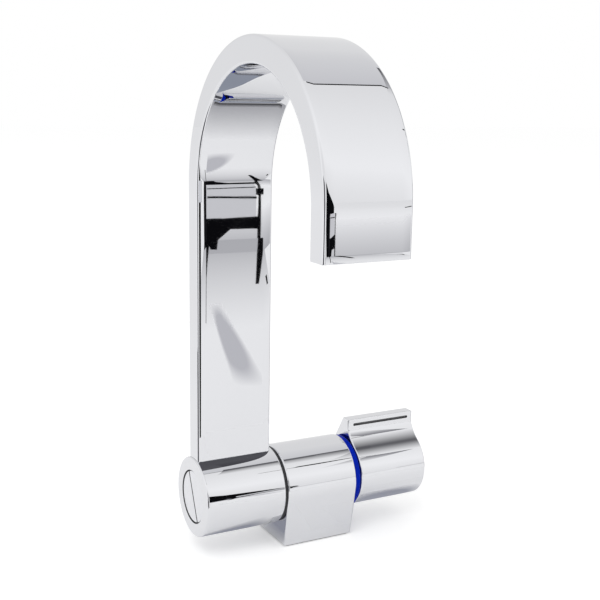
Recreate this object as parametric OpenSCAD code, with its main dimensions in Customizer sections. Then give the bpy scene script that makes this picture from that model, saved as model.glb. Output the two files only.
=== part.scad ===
// Folding cold-water tap for a caravan or boat galley.
// The flat ribbon spout turns on a cross axle through a small foot block and folds forward
// into the sink. A round knob with a lever fin on the other side of the block turns a
// ceramic valve through a quarter turn, and its cam presses a small switch for the pump.
// X runs along the swivel axis from the spout's hub to the knob, -Y is the user's side,
// Z is up. The origin is the centre of the foot's mounting face.

/* [Body] */
// Height of the swivel axis above the mounting face
axis_h = 26.5; // [25:0.5:40]
// Diameter of the spout's hub and of the body's round top
barrel_d = 36; // [35:0.5:44]
// Width of the body along the axis
body_w = 35.6; // [35:0.2:46]
// Depth of the foot from front to back
foot_d = 27.5; // [26.5:0.5:33]
// Radius of the edges of the chrome castings
edge_r = 0.8; // [0.4:0.1:1.2]
// Thickness of the foot gasket
gasket_t = 1.5; // [1:0.1:2.5]
// Height by which the gasket stands proud of the casting
gasket_proud = 0.5; // [0.2:0.1:0.8]
// Width of the metal rim round the gasket
gasket_rim = 1; // [0.7:0.1:1.4]
// Radius of the gasket's corners
gasket_r = 1.2; // [0.8:0.1:2]
// Gap in the gasket round each hole that it seals
gasket_hole_gap = 0.5; // [0.3:0.1:0.8]

/* [Spout] */
// Seam between the hub and the body
seam_w = 1.2; // [0.8:0.1:2]
// Width of the flat ribbon
ribbon_w = 35.4; // [33:0.2:44]
// Thickness of the ribbon
ribbon_t = 9.5; // [8:0.1:12]
// Wall of the hollow ribbon
ribbon_wall = 1.5; // [1:0.1:2]
// Radius of the ribbon's long edges
ribbon_r = 1; // [0.5:0.1:1.4]
// Distance from the hub's free end to the ribbon's side
ribbon_inset = 0.7; // [0.4:0.1:1.5]
// Distance from the ribbon's other side to the hub's inner end
ribbon_land = 1.9; // [1:0.1:4]
// Distance of the riser's centre line behind the swivel axis
riser_back = 0.3; // [0:0.1:1.5]
// Reach from the riser's centre line to the outlet's centre line
reach = 108.5; // [80:0.5:130]
// Height of the arch's spring line above the swivel axis
riser_h = 139.5; // [90:0.5:170]
// Length of the straight piece below the spring line at the outlet
outlet_drop = 18; // [10:0.5:30]
// Extra thickness of the arch at its crown
crown_t = 1.2; // [0:0.1:2]
// Depth of the socket in the hub that takes the ribbon
socket_depth = 5; // [3:0.1:6]

/* [Outlet insert] */
// Height of the flow insert
insert_h = 8; // [5:0.5:12]
// Gap from the mouth's edge up to the insert
insert_inset = 0.6; // [0.3:0.1:1.5]
// Number of slots in the insert
slot_count = 9; // [5:1:11]
// Web between two slots
slot_web = 1; // [0.8:0.1:1.4]

/* [Swivel] */
// Diameter of the swivel axle
axle_d = 16; // [14:0.5:17]
// Diameter of the water way through the axle
axle_bore_d = 9.6; // [7:0.2:10]
// Diameter of the slotted axle head
head_d = 23.4; // [22:0.2:26]
// Thickness of the axle head
head_t = 3.4; // [2.5:0.1:5]
// Radius of the axle head's front edge
head_edge_r = 0.4; // [0.2:0.1:0.6]
// Gap round the axle head
head_gap = 0.4; // [0.3:0.1:0.8]
// Depth of the head's face behind the end of the hub
head_sink = 0.3; // [0.1:0.1:1]
// Width of the screwdriver slot
slot_w = 0.9; // [0.6:0.1:2]
// Depth of the screwdriver slot
slot_depth = 1.2; // [0.8:0.1:2]
// Lean of the screwdriver slot from the upright
slot_lean = 24; // [0:1:90]
// Length of the axle that screws into the body
axle_grip = 5.8; // [5:0.1:7]
// Height of the cone spring under the axle head
spring_h = 0.6; // [0.4:0.05:1]
// Thickness of the cone spring's sheet
spring_t = 0.25; // [0.2:0.05:0.4]
// Wall of the two plastic bushes
bush_wall = 1.45; // [1:0.05:2]
// Length of each bush
bush_len = 5.4; // [4:0.1:7]
// Thickness of the section of the O-rings
oring_cs = 1.8; // [1.4:0.1:2]
// Width of the land for an O-ring between a bush and the hub's chamber
seal_land = 3.4; // [3:0.1:4]
// Distance from the body's left face to the O-ring on the axle's grip
axle_oring_edge = 1.6; // [1.4:0.1:2]
// Diameter of the water chamber in the hub
hub_chamber_d = 23; // [20:0.5:24]
// Diameter of the holes that let the water out of the axle
cross_hole_d = 6; // [4:0.5:7]
// Depth of the washer's rim inside the seam
seam_sink = 0.9; // [0.5:0.1:1.5]
// Diameter of the stop pin
stop_pin_d = 3; // [2:0.1:3.4]
// Depth of the stop pin's hole in the hub
stop_pin_grip = 3; // [2:0.1:4]
// Depth of the stop pin's slot in the body
stop_slot_depth = 2.5; // [1.5:0.1:3]
// Radius at which the stop pin turns
stop_r = 13; // [12.5:0.1:13.5]
// Angle through which the spout folds
fold_angle = 90; // [60:1:100]

/* [Valve] */
// Diameter of the bore for the valve
valve_bore_d = 22; // [21:0.1:24]
// Length of the valve's sleeve
sleeve_len = 10.5; // [10:0.1:12]
// Diameter of the ceramic discs
disc_d = 15.8; // [14:0.1:16]
// Thickness of each ceramic disc
disc_t = 2.3; // [2:0.1:2.5]
// Thickness of the inlet seal
seal_t = 1.4; // [1:0.1:1.8]
// Solid angle between a port's edge and the disc's half
port_land = 7; // [4:1:12]
// Radius of the solid middle of each disc
port_core_r = 1.8; // [1.2:0.1:2.5]
// Width of the solid rim of each disc
port_rim = 2; // [1.4:0.1:2.6]
// Diameter of the spindle
spindle_d = 8; // [7:0.1:9]
// Distance over the flats of the spindle's drive end
flats_w = 6; // [5:0.1:6.5]
// Step from the spindle's shaft down to its drive end
flats_step = 0.4; // [0.2:0.1:0.6]
// Height of the gland nut
nut_h = 4; // [3:0.1:5]
// Diameter of the gland nut's hole
neck_d = 12; // [11.2:0.1:14]
// Diameter of the water chamber behind the valve
inlet_chamber_d = 12; // [10:0.5:14]
// Length of the water chamber behind the valve
inlet_chamber_len = 4; // [3:0.1:4.4]
// Angle through which the knob turns
turn_angle = 90; // [60:1:120]

/* [Knob] */
// Diameter of the knob's drum
knob_d = 32.5; // [30:0.5:36]
// Length of the knob
knob_len = 36; // [34:0.5:46]
// Wall of the knob's drum
knob_wall = 2; // [1.5:0.1:3]
// Thickness of the knob's end wall
knob_end_t = 3; // [2.5:0.1:4]
// Radius of the edge at the knob's free end
knob_edge_r = 1; // [0.5:0.1:1.4]
// Radius of the edge at the knob's open end
knob_rim_r = 0.6; // [0.3:0.1:0.9]
// Diameter of the boss inside the knob
boss_d = 12.6; // [11:0.1:14]
// Number of ribs between boss and drum
rib_count = 4; // [3:1:6]
// Thickness of a rib
rib_t = 1.6; // [1:0.1:2.5]
// Distance of the ribs from the knob's open end
rib_start = 4; // [2:0.5:8]
// Height of the lever fin above the swivel axis
fin_h = 26; // [24:0.5:32]
// Width of the fin's flat top
fin_w = 6.2; // [4:0.2:8]
// Height of the fin's upright front face
fin_face_h = 5.5; // [4:0.5:6]
// Radius of the hollow below the fin's front face
fin_scoop_r = 20; // [14:1:40]
// Radius of the fin's rear top edge
fin_top_r = 1.6; // [0.8:0.1:2.2]
// Gap from each end of the fin to the finger groove
groove_margin = 2.6; // [1.5:0.1:6]
// Width of the finger groove
groove_w = 1.3; // [0.8:0.1:2]
// Depth of the finger groove
groove_depth = 0.8; // [0.4:0.1:1.2]
// Thickness of the blue ring
ring_t = 2.6; // [2:0.1:4]
// Diameter of the blue ring
ring_d = 34.6; // [33:0.2:35.4]
// Radius of the blue ring's outer edge
ring_edge_r = 0.4; // [0.2:0.1:0.6]
// Length of the blue ring's spigot in the valve bore
ring_spigot_len = 2; // [1.5:0.1:3]
// Wall of the blue ring's spigot
ring_spigot_wall = 1.35; // [1:0.05:1.6]
// Thickness of the black glide washer
glide_t = 0.8; // [0.5:0.1:1.5]
// Diameter of the black glide washer
glide_d = 31; // [26:0.5:32]

/* [Switch] */
// Travel of the switch rod over the knob's turn
cam_lift = 1.2; // [0.6:0.1:1.4]
// Radius of the cam where the valve is shut
cam_r = 7.2; // [6.8:0.1:7.6]
// Thickness of the cam
cam_t = 2.2; // [1.5:0.1:2.4]
// Running gap between the cam and the rod
cam_gap = 0.2; // [0.1:0.05:0.3]
// Diameter of the switch rod
rod_d = 2.4; // [2:0.1:3]
// Thickness of the switch
switch_w = 5.8; // [5:0.1:6]
// Length of the switch
switch_l = 12.8; // [11:0.1:13.4]
// Height of the switch
switch_h = 6.5; // [5.5:0.1:7]
// Diameter of the switch's button
button_d = 3; // [2.6:0.1:3.6]
// Height of the carrier below the switch
carrier_h = 3.8; // [3:0.1:5]
// Wall of the carrier
carrier_wall = 0.8; // [0.6:0.1:1]
// Floor of the carrier
carrier_floor = 1.2; // [0.8:0.1:1.6]
// Diameter of the hole for the switch's lead
lead_d = 3.5; // [2.5:0.1:4]

/* [Mounting] */
// Core diameter of the M10 x 1 water inlet
inlet_d = 9; // [8:0.1:10]
// Depth of the water inlet's thread
inlet_depth = 9; // [7:0.5:10]
// Core diameter of the two M6 fixing holes
stud_d = 5; // [4:0.1:5.4]
// Depth of the fixing holes
stud_depth = 9; // [7:0.5:11]
// Distance between the two fixing holes
stud_gap = 19; // [17.6:0.1:19.4]
// Diameter of the inner water ways
water_d = 5; // [4:0.1:5.4]

/* [Clearances] */
// Radial clearance between pieces fixed to each other
fit = 0.05; // [0.02:0.01:0.1]
// Radial clearance of a shaft that turns or slides
run = 0.05; // [0.02:0.01:0.1]
// Gap between faces that turn past each other
face_gap = 0.3; // [0.2:0.05:0.5]

/* [Hidden] */
$fn = 96;

chrome = [0.86, 0.87, 0.9];
brass = [0.8, 0.66, 0.36];
steel = [0.7, 0.71, 0.73];
rubber = [0.07, 0.07, 0.08];
black_plastic = [0.1, 0.1, 0.11];
white_plastic = [0.9, 0.9, 0.88];
ceramic = [0.94, 0.93, 0.9];
cold_blue = [0.01, 0.12, 0.62];

// Extra length that takes a cut clear through a face
cut = 1;
// Overlap that joins two forms of one piece
merge = 0.1;

// Stations along the axis, from the hub's free end to the knob's end
barrel_r = barrel_d / 2;
body_left = -body_w / 2;
body_right = body_w / 2;
hub_right = body_left - seam_w;
hub_len = ribbon_inset + ribbon_w + ribbon_land;
hub_left = hub_right - hub_len;
ribbon_left = hub_left + ribbon_inset;
ribbon_mid = ribbon_left + ribbon_w / 2;
axle_r = axle_d / 2;
axle_end = body_left + axle_grip;
head_face = hub_left + head_sink;
head_back = head_face + head_t;
counterbore_floor = head_back + spring_h;
hub_bush_left = counterbore_floor + bush_len;
hub_bush_right = hub_right - bush_len;
hub_chamber_left = hub_bush_left + seal_land;
hub_chamber_right = hub_bush_right - seal_land;
cross_hole_x = (hub_chamber_left + hub_chamber_right) / 2;
axle_chamber_len = 1.8;
axle_chamber_r = 11;

// Stack of cam, clip and nut, counted back from the end of the knob's boss
boss_step = 4;
boss_left = body_right - boss_step;
cam_play = 0.1;
cam_left = boss_left - cam_play - cam_t;
clip_t = 0.7;
clip_left = cam_left - cam_play - clip_t;
nut_right = clip_left - cam_play;
nut_left = nut_right - nut_h;
sleeve_left = nut_left - sleeve_len;
chamber_left = sleeve_left - inlet_chamber_len;
inlet_x = sleeve_left - inlet_chamber_len / 2;
ring_right = body_right + ring_t;
glide_right = ring_right + glide_t;
knob_left = glide_right + face_gap;
knob_right = knob_left + knob_len;

// Body outline: the flanks run straight from the foot to where they touch the round top
foot_y = foot_d / 2;
foot_z = gasket_proud;
foot_to_axis = norm([foot_y, axis_h - foot_z]);
flank_len = sqrt(foot_to_axis * foot_to_axis - barrel_r * barrel_r);
flank_rise = atan2(axis_h - foot_z, -foot_y) - asin(barrel_r / foot_to_axis);
flank_lean = 90 - flank_rise;
flank_y = foot_y + flank_len * cos(flank_rise);
flank_z = foot_z + flank_len * sin(flank_rise);

// Valve stack: seal, fixed disc, moving disc and the spindle's flange
bore_r = valve_bore_d / 2;
sleeve_r = bore_r - fit;
disc_r = disc_d / 2;
disc_play = 0.05;
disc_gap = 0.1;
pocket_r = disc_r + disc_gap;
seal_right = sleeve_left + seal_t;
fixed_right = seal_right + disc_t;
moving_left = fixed_right + disc_play;
moving_right = moving_left + disc_t;
flange_left = moving_right + disc_play;
flange_t = 1.6;
flange_right = flange_left + flange_t;
pocket_right = flange_right + disc_gap;
spindle_r = spindle_d / 2;
port_angle = min(turn_angle, 180 - turn_angle) - 2 * port_land;
seal_lip = 1.4;
lug_angle = 30;
lug_rib = 1;
stop_slack = 1;
key_at = 3.6;
key_w = 2;
key_h = 1.6;
key_len = 1;
window_w = 9;
sleeve_oring_x = nut_left - 1.6;
spindle_oring_x = nut_right - 2.2;
nut_key_d = 2;
nut_key_depth = 2;
clip_groove = 0.8;
clip_rim = 1.4;
clip_mouth = 2;
// Groove that collects the water round the sleeve's windows
groove_extra = 2;
groove_lap = 0.5;
water_r = water_d / 2;
water_z = bore_r + groove_extra - water_r;

// Knob profile: the rear flank touches the drum, the front hollow blends into it
knob_r = knob_d / 2;
fin_y = fin_w / 2;
fin_foot = [-fin_y, fin_h - fin_face_h];
scoop_span = knob_r + fin_scoop_r;
scoop_cos = (scoop_span * scoop_span + fin_foot * fin_foot - fin_scoop_r * fin_scoop_r)
    / (2 * scoop_span * norm(fin_foot));
scoop_angle = atan2(fin_foot[1], fin_foot[0]) + acos(scoop_cos);
scoop_at = [scoop_span * cos(scoop_angle), scoop_span * sin(scoop_angle)];
rear_edge = [fin_y - fin_top_r, fin_h - fin_top_r];
rear_reach = norm(rear_edge);
rear_angle = atan2(rear_edge[1], rear_edge[0]) - acos((knob_r - fin_top_r) / rear_reach);
spindle_end = knob_left + knob_len / 2;
screw_head_t = 3;
screw_head_r = 3.6;
screw_r = 2;
screw_neck = 9;
screw_seat = spindle_end + screw_neck;
screw_grip = 7;
screw_gap = 0.2;
recess_len = 4;
recess_w = 0.9;
recess_depth = 1.5;
cap_r = 6;
cap_t = 2;
cap_edge_r = 0.4;
cap_end_gap = 0.5;
cap_spigot_wall = 0.95;
cap_spigot_len = knob_right - cap_t - screw_seat - screw_head_t - cap_end_gap;
boss_gap = 1;
rib_turn = 45;

// Switch stack, from the foot up to the cam
pocket_gap = 0.1;
switch_x = cam_left + cam_t / 2;
carrier_z = gasket_t + fit;
switch_z = carrier_z + carrier_h + fit;
switch_top = switch_z + switch_h;
pocket_top = switch_top + pocket_gap;
button_r = button_d / 2;
button_rise = 0.9;
button_z = switch_top + button_rise;
button_h = 2;
terminal_w = 1.6;
terminal_t = 0.5;
terminal_inset = 1.9;
rod_r = rod_d / 2;
rod_top = axis_h - cam_r - cam_gap;

// Spout path
riser_y = riser_back;
spring_z = axis_h + riser_h;
outlet_y = riser_y - reach;
outlet_z = spring_z - outlet_drop;
arch_r = reach / 2;
arch_y = riser_y - arch_r;
arch_outer_r = arch_r + ribbon_t / 2;
arch_inner_r = arch_r - ribbon_t / 2;
socket_z = axis_h + barrel_r - socket_depth;
riser_way_z = axis_h + hub_chamber_d / 4;
// The arch is two layers; each stops short of the other's round edge by this step
layer_step = 1;

// Swivel details
spring_r = head_d / 2 - 0.5;
stop_pin_end_gap = 0.5;
stop_pin_len = stop_pin_grip - fit + seam_w + stop_slot_depth - stop_pin_end_gap;
// Turn too small to see, which keeps the seams of a slot's round parts apart
seam_turn = 0.001;

// Places its children's Z axis along the swivel axis
module along_x(x) {
    translate([x, 0, axis_h])
        rotate([0, 90, 0])
            children();
}

// Extrudes a drawing in Y and Z, measured from the swivel axis, along X
module across(x, len) {
    translate([x, 0, axis_h])
        rotate([90, 0, 90])
            linear_extrude(height = len)
                children();
}

module ring_x(x0, x1, r_out, r_in) {
    along_x(x0)
        difference() {
            cylinder(h = x1 - x0, r = r_out);
            translate([0, 0, -cut])
                cylinder(h = x1 - x0 + 2 * cut, r = r_in);
        }
}

module rod_x(x0, x1, r) {
    along_x(x0)
        cylinder(h = x1 - x0, r = r);
}

// Half outline of a drum with a rounded edge at each end
module drum_outline(len, r, edge_0, edge_1) {
    inner = r - max(edge_0, edge_1);
    square([inner, len]);
    translate([0, edge_0])
        square([r, len - edge_0 - edge_1]);
    translate([r - edge_0, edge_0])
        circle(r = edge_0);
    translate([r - edge_1, len - edge_1])
        circle(r = edge_1);
    square([r - edge_0, len / 2]);
    translate([0, len / 2])
        square([r - edge_1, len / 2]);
}

module drum_x(x, len, r, edge_0, edge_1) {
    along_x(x)
        rotate_extrude()
            drum_outline(len, r, edge_0, edge_1);
}

module rounded_box_2d(w, d, r) {
    square([w - 2 * r, d], center = true);
    square([w, d - 2 * r], center = true);
    for (sx = [-1, 1]) {
        for (sy = [-1, 1]) {
            translate([sx * (w / 2 - r), sy * (d / 2 - r)])
                circle(r = r);
        }
    }
}

module sector_2d(r, from, to) {
    steps = 6;
    far = 2 * r;
    polygon(concat(
        [[0, 0]],
        [for (i = [0 : steps])
            let (a = from + (to - from) * i / steps)
            [far * cos(a), far * sin(a)]]
    ));
}

module oring_x(x, r_out) {
    along_x(x)
        rotate_extrude()
            translate([r_out - oring_cs / 2, 0])
                circle(d = oring_cs);
}

module oring_groove_x(x, r_out) {
    ring_x(x - oring_cs / 2 - fit, x + oring_cs / 2 + fit, r_out + cut, r_out - oring_cs - fit);
}

// Curved slot that the stop pin runs in
module stop_slot(x0, x1) {
    half = stop_pin_d / 2 + run;
    along_x(x0) {
        rotate([0, 0, -90 + seam_turn])
            rotate_extrude(angle = fold_angle)
                translate([stop_r - half, 0])
                    square([2 * half, x1 - x0]);
        for (a = [0, fold_angle]) {
            rotate([0, 0, -90 + a])
                translate([stop_r, 0, 0])
                    cylinder(h = x1 - x0, r = half);
        }
    }
}

// Waste along an upright edge of the foot block, which leaves a round edge
module flank_edge_waste() {
    translate([body_w / 2, foot_y, foot_z])
        rotate([-flank_lean, 0, 0])
            translate([-edge_r, -edge_r, -cut])
                linear_extrude(height = flank_len + cut)
                    difference() {
                        square(edge_r + cut);
                        circle(r = edge_r);
                    }
}

module foot_block() {
    difference() {
        across(body_left, body_w)
            polygon([
                [-foot_y, foot_z - axis_h],
                [foot_y, foot_z - axis_h],
                [flank_y, flank_z - axis_h],
                [0, 0],
                [-flank_y, flank_z - axis_h]
            ]);
        for (side = [0, 1]) {
            for (face = [0, 1]) {
                mirror([side, 0, 0])
                    mirror([0, face, 0])
                        flank_edge_waste();
            }
        }
    }
}

module gasket_2d(gap) {
    rounded_box_2d(
        body_w - 2 * gasket_rim + 2 * gap,
        foot_d - 2 * gasket_rim + 2 * gap,
        gasket_r
    );
}

module body_water_ways() {
    // Axle's thread and the chamber at its end
    rod_x(body_left - cut, axle_end + axle_chamber_len, axle_r + fit);
    rod_x(axle_end, axle_end + axle_chamber_len, axle_chamber_r);
    // Valve bore, the chamber behind it and the groove that collects the water
    rod_x(sleeve_left, body_right + cut, bore_r);
    rod_x(chamber_left, sleeve_left + cut, inlet_chamber_d / 2);
    rod_x(fixed_right - groove_lap, moving_right + groove_lap, bore_r + groove_extra);
    // Way from the groove to the axle
    translate([0, 0, water_z])
        rod_x(axle_end + axle_chamber_len / 2, fixed_right + disc_t / 2, water_r);
    // Inlet
    translate([inlet_x, 0, gasket_t - cut])
        cylinder(h = inlet_depth + cut, d = inlet_d);
    translate([inlet_x, 0, gasket_t])
        cylinder(h = axis_h - gasket_t, r = min(water_r, inlet_chamber_len / 2 - merge));
}

module body_switch_pocket() {
    translate([switch_x - switch_w / 2 - pocket_gap, -switch_l / 2 - pocket_gap, foot_z - cut])
        cube([switch_w + 2 * pocket_gap, switch_l + 2 * pocket_gap, pocket_top - foot_z + cut]);
    translate([switch_x, 0, pocket_top - cut])
        cylinder(h = button_z - pocket_top + cut + face_gap, r = button_r + face_gap);
    translate([switch_x, 0, pocket_top])
        cylinder(h = axis_h - pocket_top, r = rod_r + run);
}

module body_housing() {
    color(chrome)
        difference() {
            union() {
                drum_x(body_left, body_w, barrel_r, edge_r, edge_r);
                foot_block();
            }
            body_water_ways();
            body_switch_pocket();
            stop_slot(body_left - cut, body_left + stop_slot_depth);
            translate([0, 0, foot_z - cut])
                linear_extrude(height = gasket_t - foot_z + cut)
                    gasket_2d(fit);
            for (side = [-1, 1]) {
                translate([0, side * stud_gap / 2, gasket_t - cut])
                    cylinder(h = stud_depth + cut, d = stud_d);
            }
        }
}

module base_gasket() {
    color(rubber)
        difference() {
            linear_extrude(height = gasket_t)
                gasket_2d(0);
            translate([inlet_x, 0, -cut])
                cylinder(h = gasket_t + 2 * cut, d = inlet_d + 2 * gasket_hole_gap);
            translate([switch_x, 0, -cut])
                cylinder(h = gasket_t + 2 * cut, d = lead_d + 2 * gasket_hole_gap);
            for (side = [-1, 1]) {
                translate([0, side * stud_gap / 2, -cut])
                    cylinder(h = gasket_t + 2 * cut, d = stud_d + 2 * gasket_hole_gap);
            }
        }
}

axle_oring_at = [
    (hub_bush_left + hub_chamber_left) / 2,
    (hub_bush_right + hub_chamber_right) / 2,
    body_left + axle_oring_edge
];

module pivot_axle() {
    color(brass)
        difference() {
            union() {
                drum_x(head_face, head_t, head_d / 2, head_edge_r, head_edge_r / 2);
                rod_x(head_back - merge, axle_end, axle_r);
            }
            rod_x(hub_chamber_left, axle_end + cut, axle_bore_d / 2);
            for (a = [0, 90]) {
                along_x(cross_hole_x)
                    rotate([0, 0, a])
                        rotate([90, 0, 0])
                            cylinder(h = 2 * axle_d, d = cross_hole_d, center = true);
            }
            for (x = axle_oring_at) {
                oring_groove_x(x, axle_r);
            }
            along_x(head_face)
                rotate([0, 0, -slot_lean])
                    cube([2 * head_d, slot_w, 2 * slot_depth], center = true);
        }
}

module axle_orings() {
    color(rubber)
        for (x = axle_oring_at) {
            oring_x(x, axle_r + run / 2);
        }
}

module cone_spring() {
    color(steel)
        along_x(head_back)
            rotate_extrude()
                polygon([
                    [axle_r + 2 * fit, fit / 2],
                    [spring_r, spring_h - spring_t - fit],
                    [spring_r, spring_h - fit],
                    [axle_r + 2 * fit, spring_t + fit / 2]
                ]);
}

module seam_washer() {
    color(black_plastic)
        difference() {
            ring_x(hub_right + run, body_left, barrel_r - seam_sink, axle_r + fit);
            stop_slot(hub_right - cut, body_left + cut);
        }
}

module valve_sleeve() {
    neck_r = neck_d / 2;
    color(brass)
        difference() {
            union() {
                rod_x(sleeve_left, nut_left, sleeve_r);
                rod_x(nut_left - merge, nut_right, neck_r);
            }
            // Pocket for the discs, with a rib that stops the spindle's lug
            rod_x(sleeve_left - cut, flange_left, pocket_r);
            across(flange_left - merge, pocket_right - flange_left + merge)
                union() {
                    circle(r = pocket_r - lug_rib);
                    intersection() {
                        circle(r = pocket_r);
                        sector_2d(pocket_r, 90 - lug_angle / 2 - stop_slack,
                            90 + lug_angle / 2 + stop_slack + turn_angle / 2);
                    }
                    intersection() {
                        circle(r = pocket_r);
                        sector_2d(pocket_r, 90 + turn_angle / 2,
                            90 + turn_angle + lug_angle / 2 + stop_slack);
                    }
                }
            rod_x(pocket_right - cut, nut_right + cut, spindle_r + run);
            // Side windows that let the water out
            along_x(fixed_right)
                translate([-2 * bore_r, -window_w / 2, 0])
                    cube([4 * bore_r, window_w, disc_t]);
            oring_groove_x(sleeve_oring_x, sleeve_r);
        }
}

module sleeve_oring() {
    color(rubber)
        oring_x(sleeve_oring_x, sleeve_r + fit / 2);
}

module inlet_seal() {
    color(rubber)
        ring_x(sleeve_left, seal_right, disc_r, inlet_chamber_d / 2 - seal_lip);
}

// Ceramic disc with two ports, which start at the angle given
module port_disc(x, from) {
    across(x, disc_t)
        difference() {
            circle(r = disc_r);
            for (half = [0, 180]) {
                intersection() {
                    difference() {
                        circle(r = disc_r - port_rim);
                        circle(r = port_core_r);
                    }
                    sector_2d(disc_r, half + from, half + from + port_angle);
                }
            }
        }
}

module fixed_disc() {
    color(ceramic)
        port_disc(seal_right, port_land);
}

module gland_nut() {
    color(brass)
        difference() {
            ring_x(nut_left, nut_right, bore_r - fit, neck_d / 2 + fit);
            for (a = [0, 180]) {
                along_x(nut_right - nut_key_depth)
                    rotate([0, 0, a])
                        translate([0, (bore_r + neck_d / 2) / 2, 0])
                            cylinder(h = nut_key_depth + cut, d = nut_key_d);
            }
        }
}

module colour_ring() {
    spigot_left = body_right - ring_spigot_len;
    color(cold_blue)
        difference() {
            union() {
                drum_x(body_right, ring_t, ring_d / 2, merge, ring_edge_r);
                rod_x(spigot_left, body_right + merge, bore_r - fit);
            }
            rod_x(spigot_left - cut, ring_right + cut, boss_d / 2 + boss_gap);
            rod_x(spigot_left - cut, body_right, bore_r - fit - ring_spigot_wall);
        }
}

module knob_glide() {
    color(black_plastic)
        ring_x(ring_right, glide_right, glide_d / 2, boss_d / 2 + boss_gap);
}

module switch_carrier() {
    color(black_plastic)
        difference() {
            translate([switch_x - switch_w / 2, -switch_l / 2, carrier_z])
                cube([switch_w, switch_l, carrier_h]);
            translate([
                switch_x - switch_w / 2 + carrier_wall,
                -switch_l / 2 + carrier_wall,
                carrier_z + carrier_floor
            ])
                cube([switch_w - 2 * carrier_wall, switch_l - 2 * carrier_wall, carrier_h]);
            translate([switch_x, 0, carrier_z - cut])
                cylinder(h = carrier_floor + 2 * cut, d = lead_d);
        }
}

module switch_case() {
    color(black_plastic)
        difference() {
            translate([switch_x - switch_w / 2, -switch_l / 2, switch_z])
                cube([switch_w, switch_l, switch_h]);
            translate([switch_x, 0, button_z - button_h - cam_lift - face_gap])
                cylinder(h = switch_h, r = button_r + run);
        }
}

module switch_terminals() {
    terminal_z = carrier_z + carrier_floor + face_gap;
    color(brass)
        for (i = [-1, 0, 1]) {
            translate([
                switch_x - terminal_t / 2,
                i * (switch_l / 2 - terminal_inset) - terminal_w / 2,
                terminal_z
            ])
                cube([terminal_t, terminal_w, switch_z - terminal_z]);
        }
}

module spout_hub() {
    color(chrome)
        difference() {
            drum_x(hub_left, hub_len, barrel_r, edge_r, edge_r);
            rod_x(hub_left - cut, counterbore_floor, head_d / 2 + head_gap);
            rod_x(counterbore_floor - cut, hub_right + cut, axle_r + run);
            rod_x(counterbore_floor - cut, hub_bush_left, axle_r + run + bush_wall);
            rod_x(hub_bush_right, hub_right + cut, axle_r + run + bush_wall);
            rod_x(hub_chamber_left, hub_chamber_right, hub_chamber_d / 2);
            // Socket for the ribbon and the way up from the chamber
            translate([ribbon_mid, riser_y, socket_z])
                linear_extrude(height = socket_depth + cut)
                    rounded_box_2d(ribbon_w + 2 * fit, ribbon_t + 2 * fit, ribbon_r + fit);
            translate([hub_chamber_left, riser_y - ribbon_t / 2 + ribbon_wall, riser_way_z])
                cube([
                    hub_chamber_right - hub_chamber_left,
                    ribbon_t - 2 * ribbon_wall,
                    socket_z + cut - riser_way_z
                ]);
            along_x(hub_right - stop_pin_grip)
                rotate([0, 0, -90])
                    translate([stop_r, 0, 0])
                        cylinder(h = stop_pin_grip + cut, d = stop_pin_d + fit);
        }
}

// Sweeps a section round the arch's upper half, about an axis at height z
module arch_sweep(z, r) {
    translate([ribbon_mid, arch_y, z])
        rotate([0, 90, 0])
            rotate([0, 0, 90])
                rotate_extrude(angle = 180)
                    translate([r, 0])
                        children();
}

module spout_tube() {
    shell_t = ribbon_t - ribbon_r - layer_step;
    inner_w = ribbon_w - 2 * ribbon_wall;
    inner_t = ribbon_t - 2 * ribbon_wall;
    inner_spring = spring_z - crown_t;
    color(chrome)
        difference() {
            union() {
                // Arch: an outer and an inner layer, whose centres differ by the crown's extra
                arch_sweep(spring_z, arch_outer_r - shell_t / 2)
                    rounded_box_2d(shell_t, ribbon_w, ribbon_r);
                arch_sweep(inner_spring, arch_inner_r + shell_t / 2)
                    rounded_box_2d(shell_t, ribbon_w, ribbon_r);
                translate([ribbon_mid, riser_y, socket_z + fit])
                    linear_extrude(height = inner_spring - socket_z - fit)
                        rounded_box_2d(ribbon_w, ribbon_t, ribbon_r);
                translate([ribbon_mid, outlet_y, outlet_z])
                    linear_extrude(height = inner_spring - outlet_z)
                        rounded_box_2d(ribbon_w, ribbon_t, ribbon_r);
                for (y = [riser_y + (ribbon_t - shell_t) / 2, outlet_y - (ribbon_t - shell_t) / 2]) {
                    translate([ribbon_mid, y, inner_spring - merge])
                        linear_extrude(height = crown_t + merge)
                            rounded_box_2d(ribbon_w, shell_t, ribbon_r);
                }
            }
            arch_sweep(spring_z - crown_t / 2, arch_r)
                square([inner_t, inner_w], center = true);
            translate([ribbon_mid, riser_y, socket_z - cut])
                linear_extrude(height = spring_z - crown_t / 2 - socket_z + cut)
                    square([inner_w, inner_t], center = true);
            translate([ribbon_mid, outlet_y, outlet_z - cut])
                linear_extrude(height = spring_z - crown_t / 2 - outlet_z + cut)
                    square([inner_w, inner_t], center = true);
        }
}

module outlet_insert() {
    w = ribbon_w - 2 * ribbon_wall - 2 * fit;
    t = ribbon_t - 2 * ribbon_wall - 2 * fit;
    pitch = (w - slot_web) / slot_count;
    color(black_plastic)
        translate([ribbon_mid, outlet_y, outlet_z + insert_inset])
            difference() {
                translate([-w / 2, -t / 2, 0])
                    cube([w, t, insert_h]);
                for (i = [0 : slot_count - 1]) {
                    translate([-w / 2 + slot_web + i * pitch, -t / 2 + slot_web, -cut])
                        cube([pitch - slot_web, t - 2 * slot_web, insert_h + 2 * cut]);
                }
            }
}

module hub_bushes() {
    bush_r = axle_r + run + bush_wall - fit;
    color(white_plastic) {
        ring_x(counterbore_floor, hub_bush_left - fit, bush_r, axle_r + run);
        ring_x(hub_bush_right + fit, hub_right, bush_r, axle_r + run);
    }
}

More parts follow.
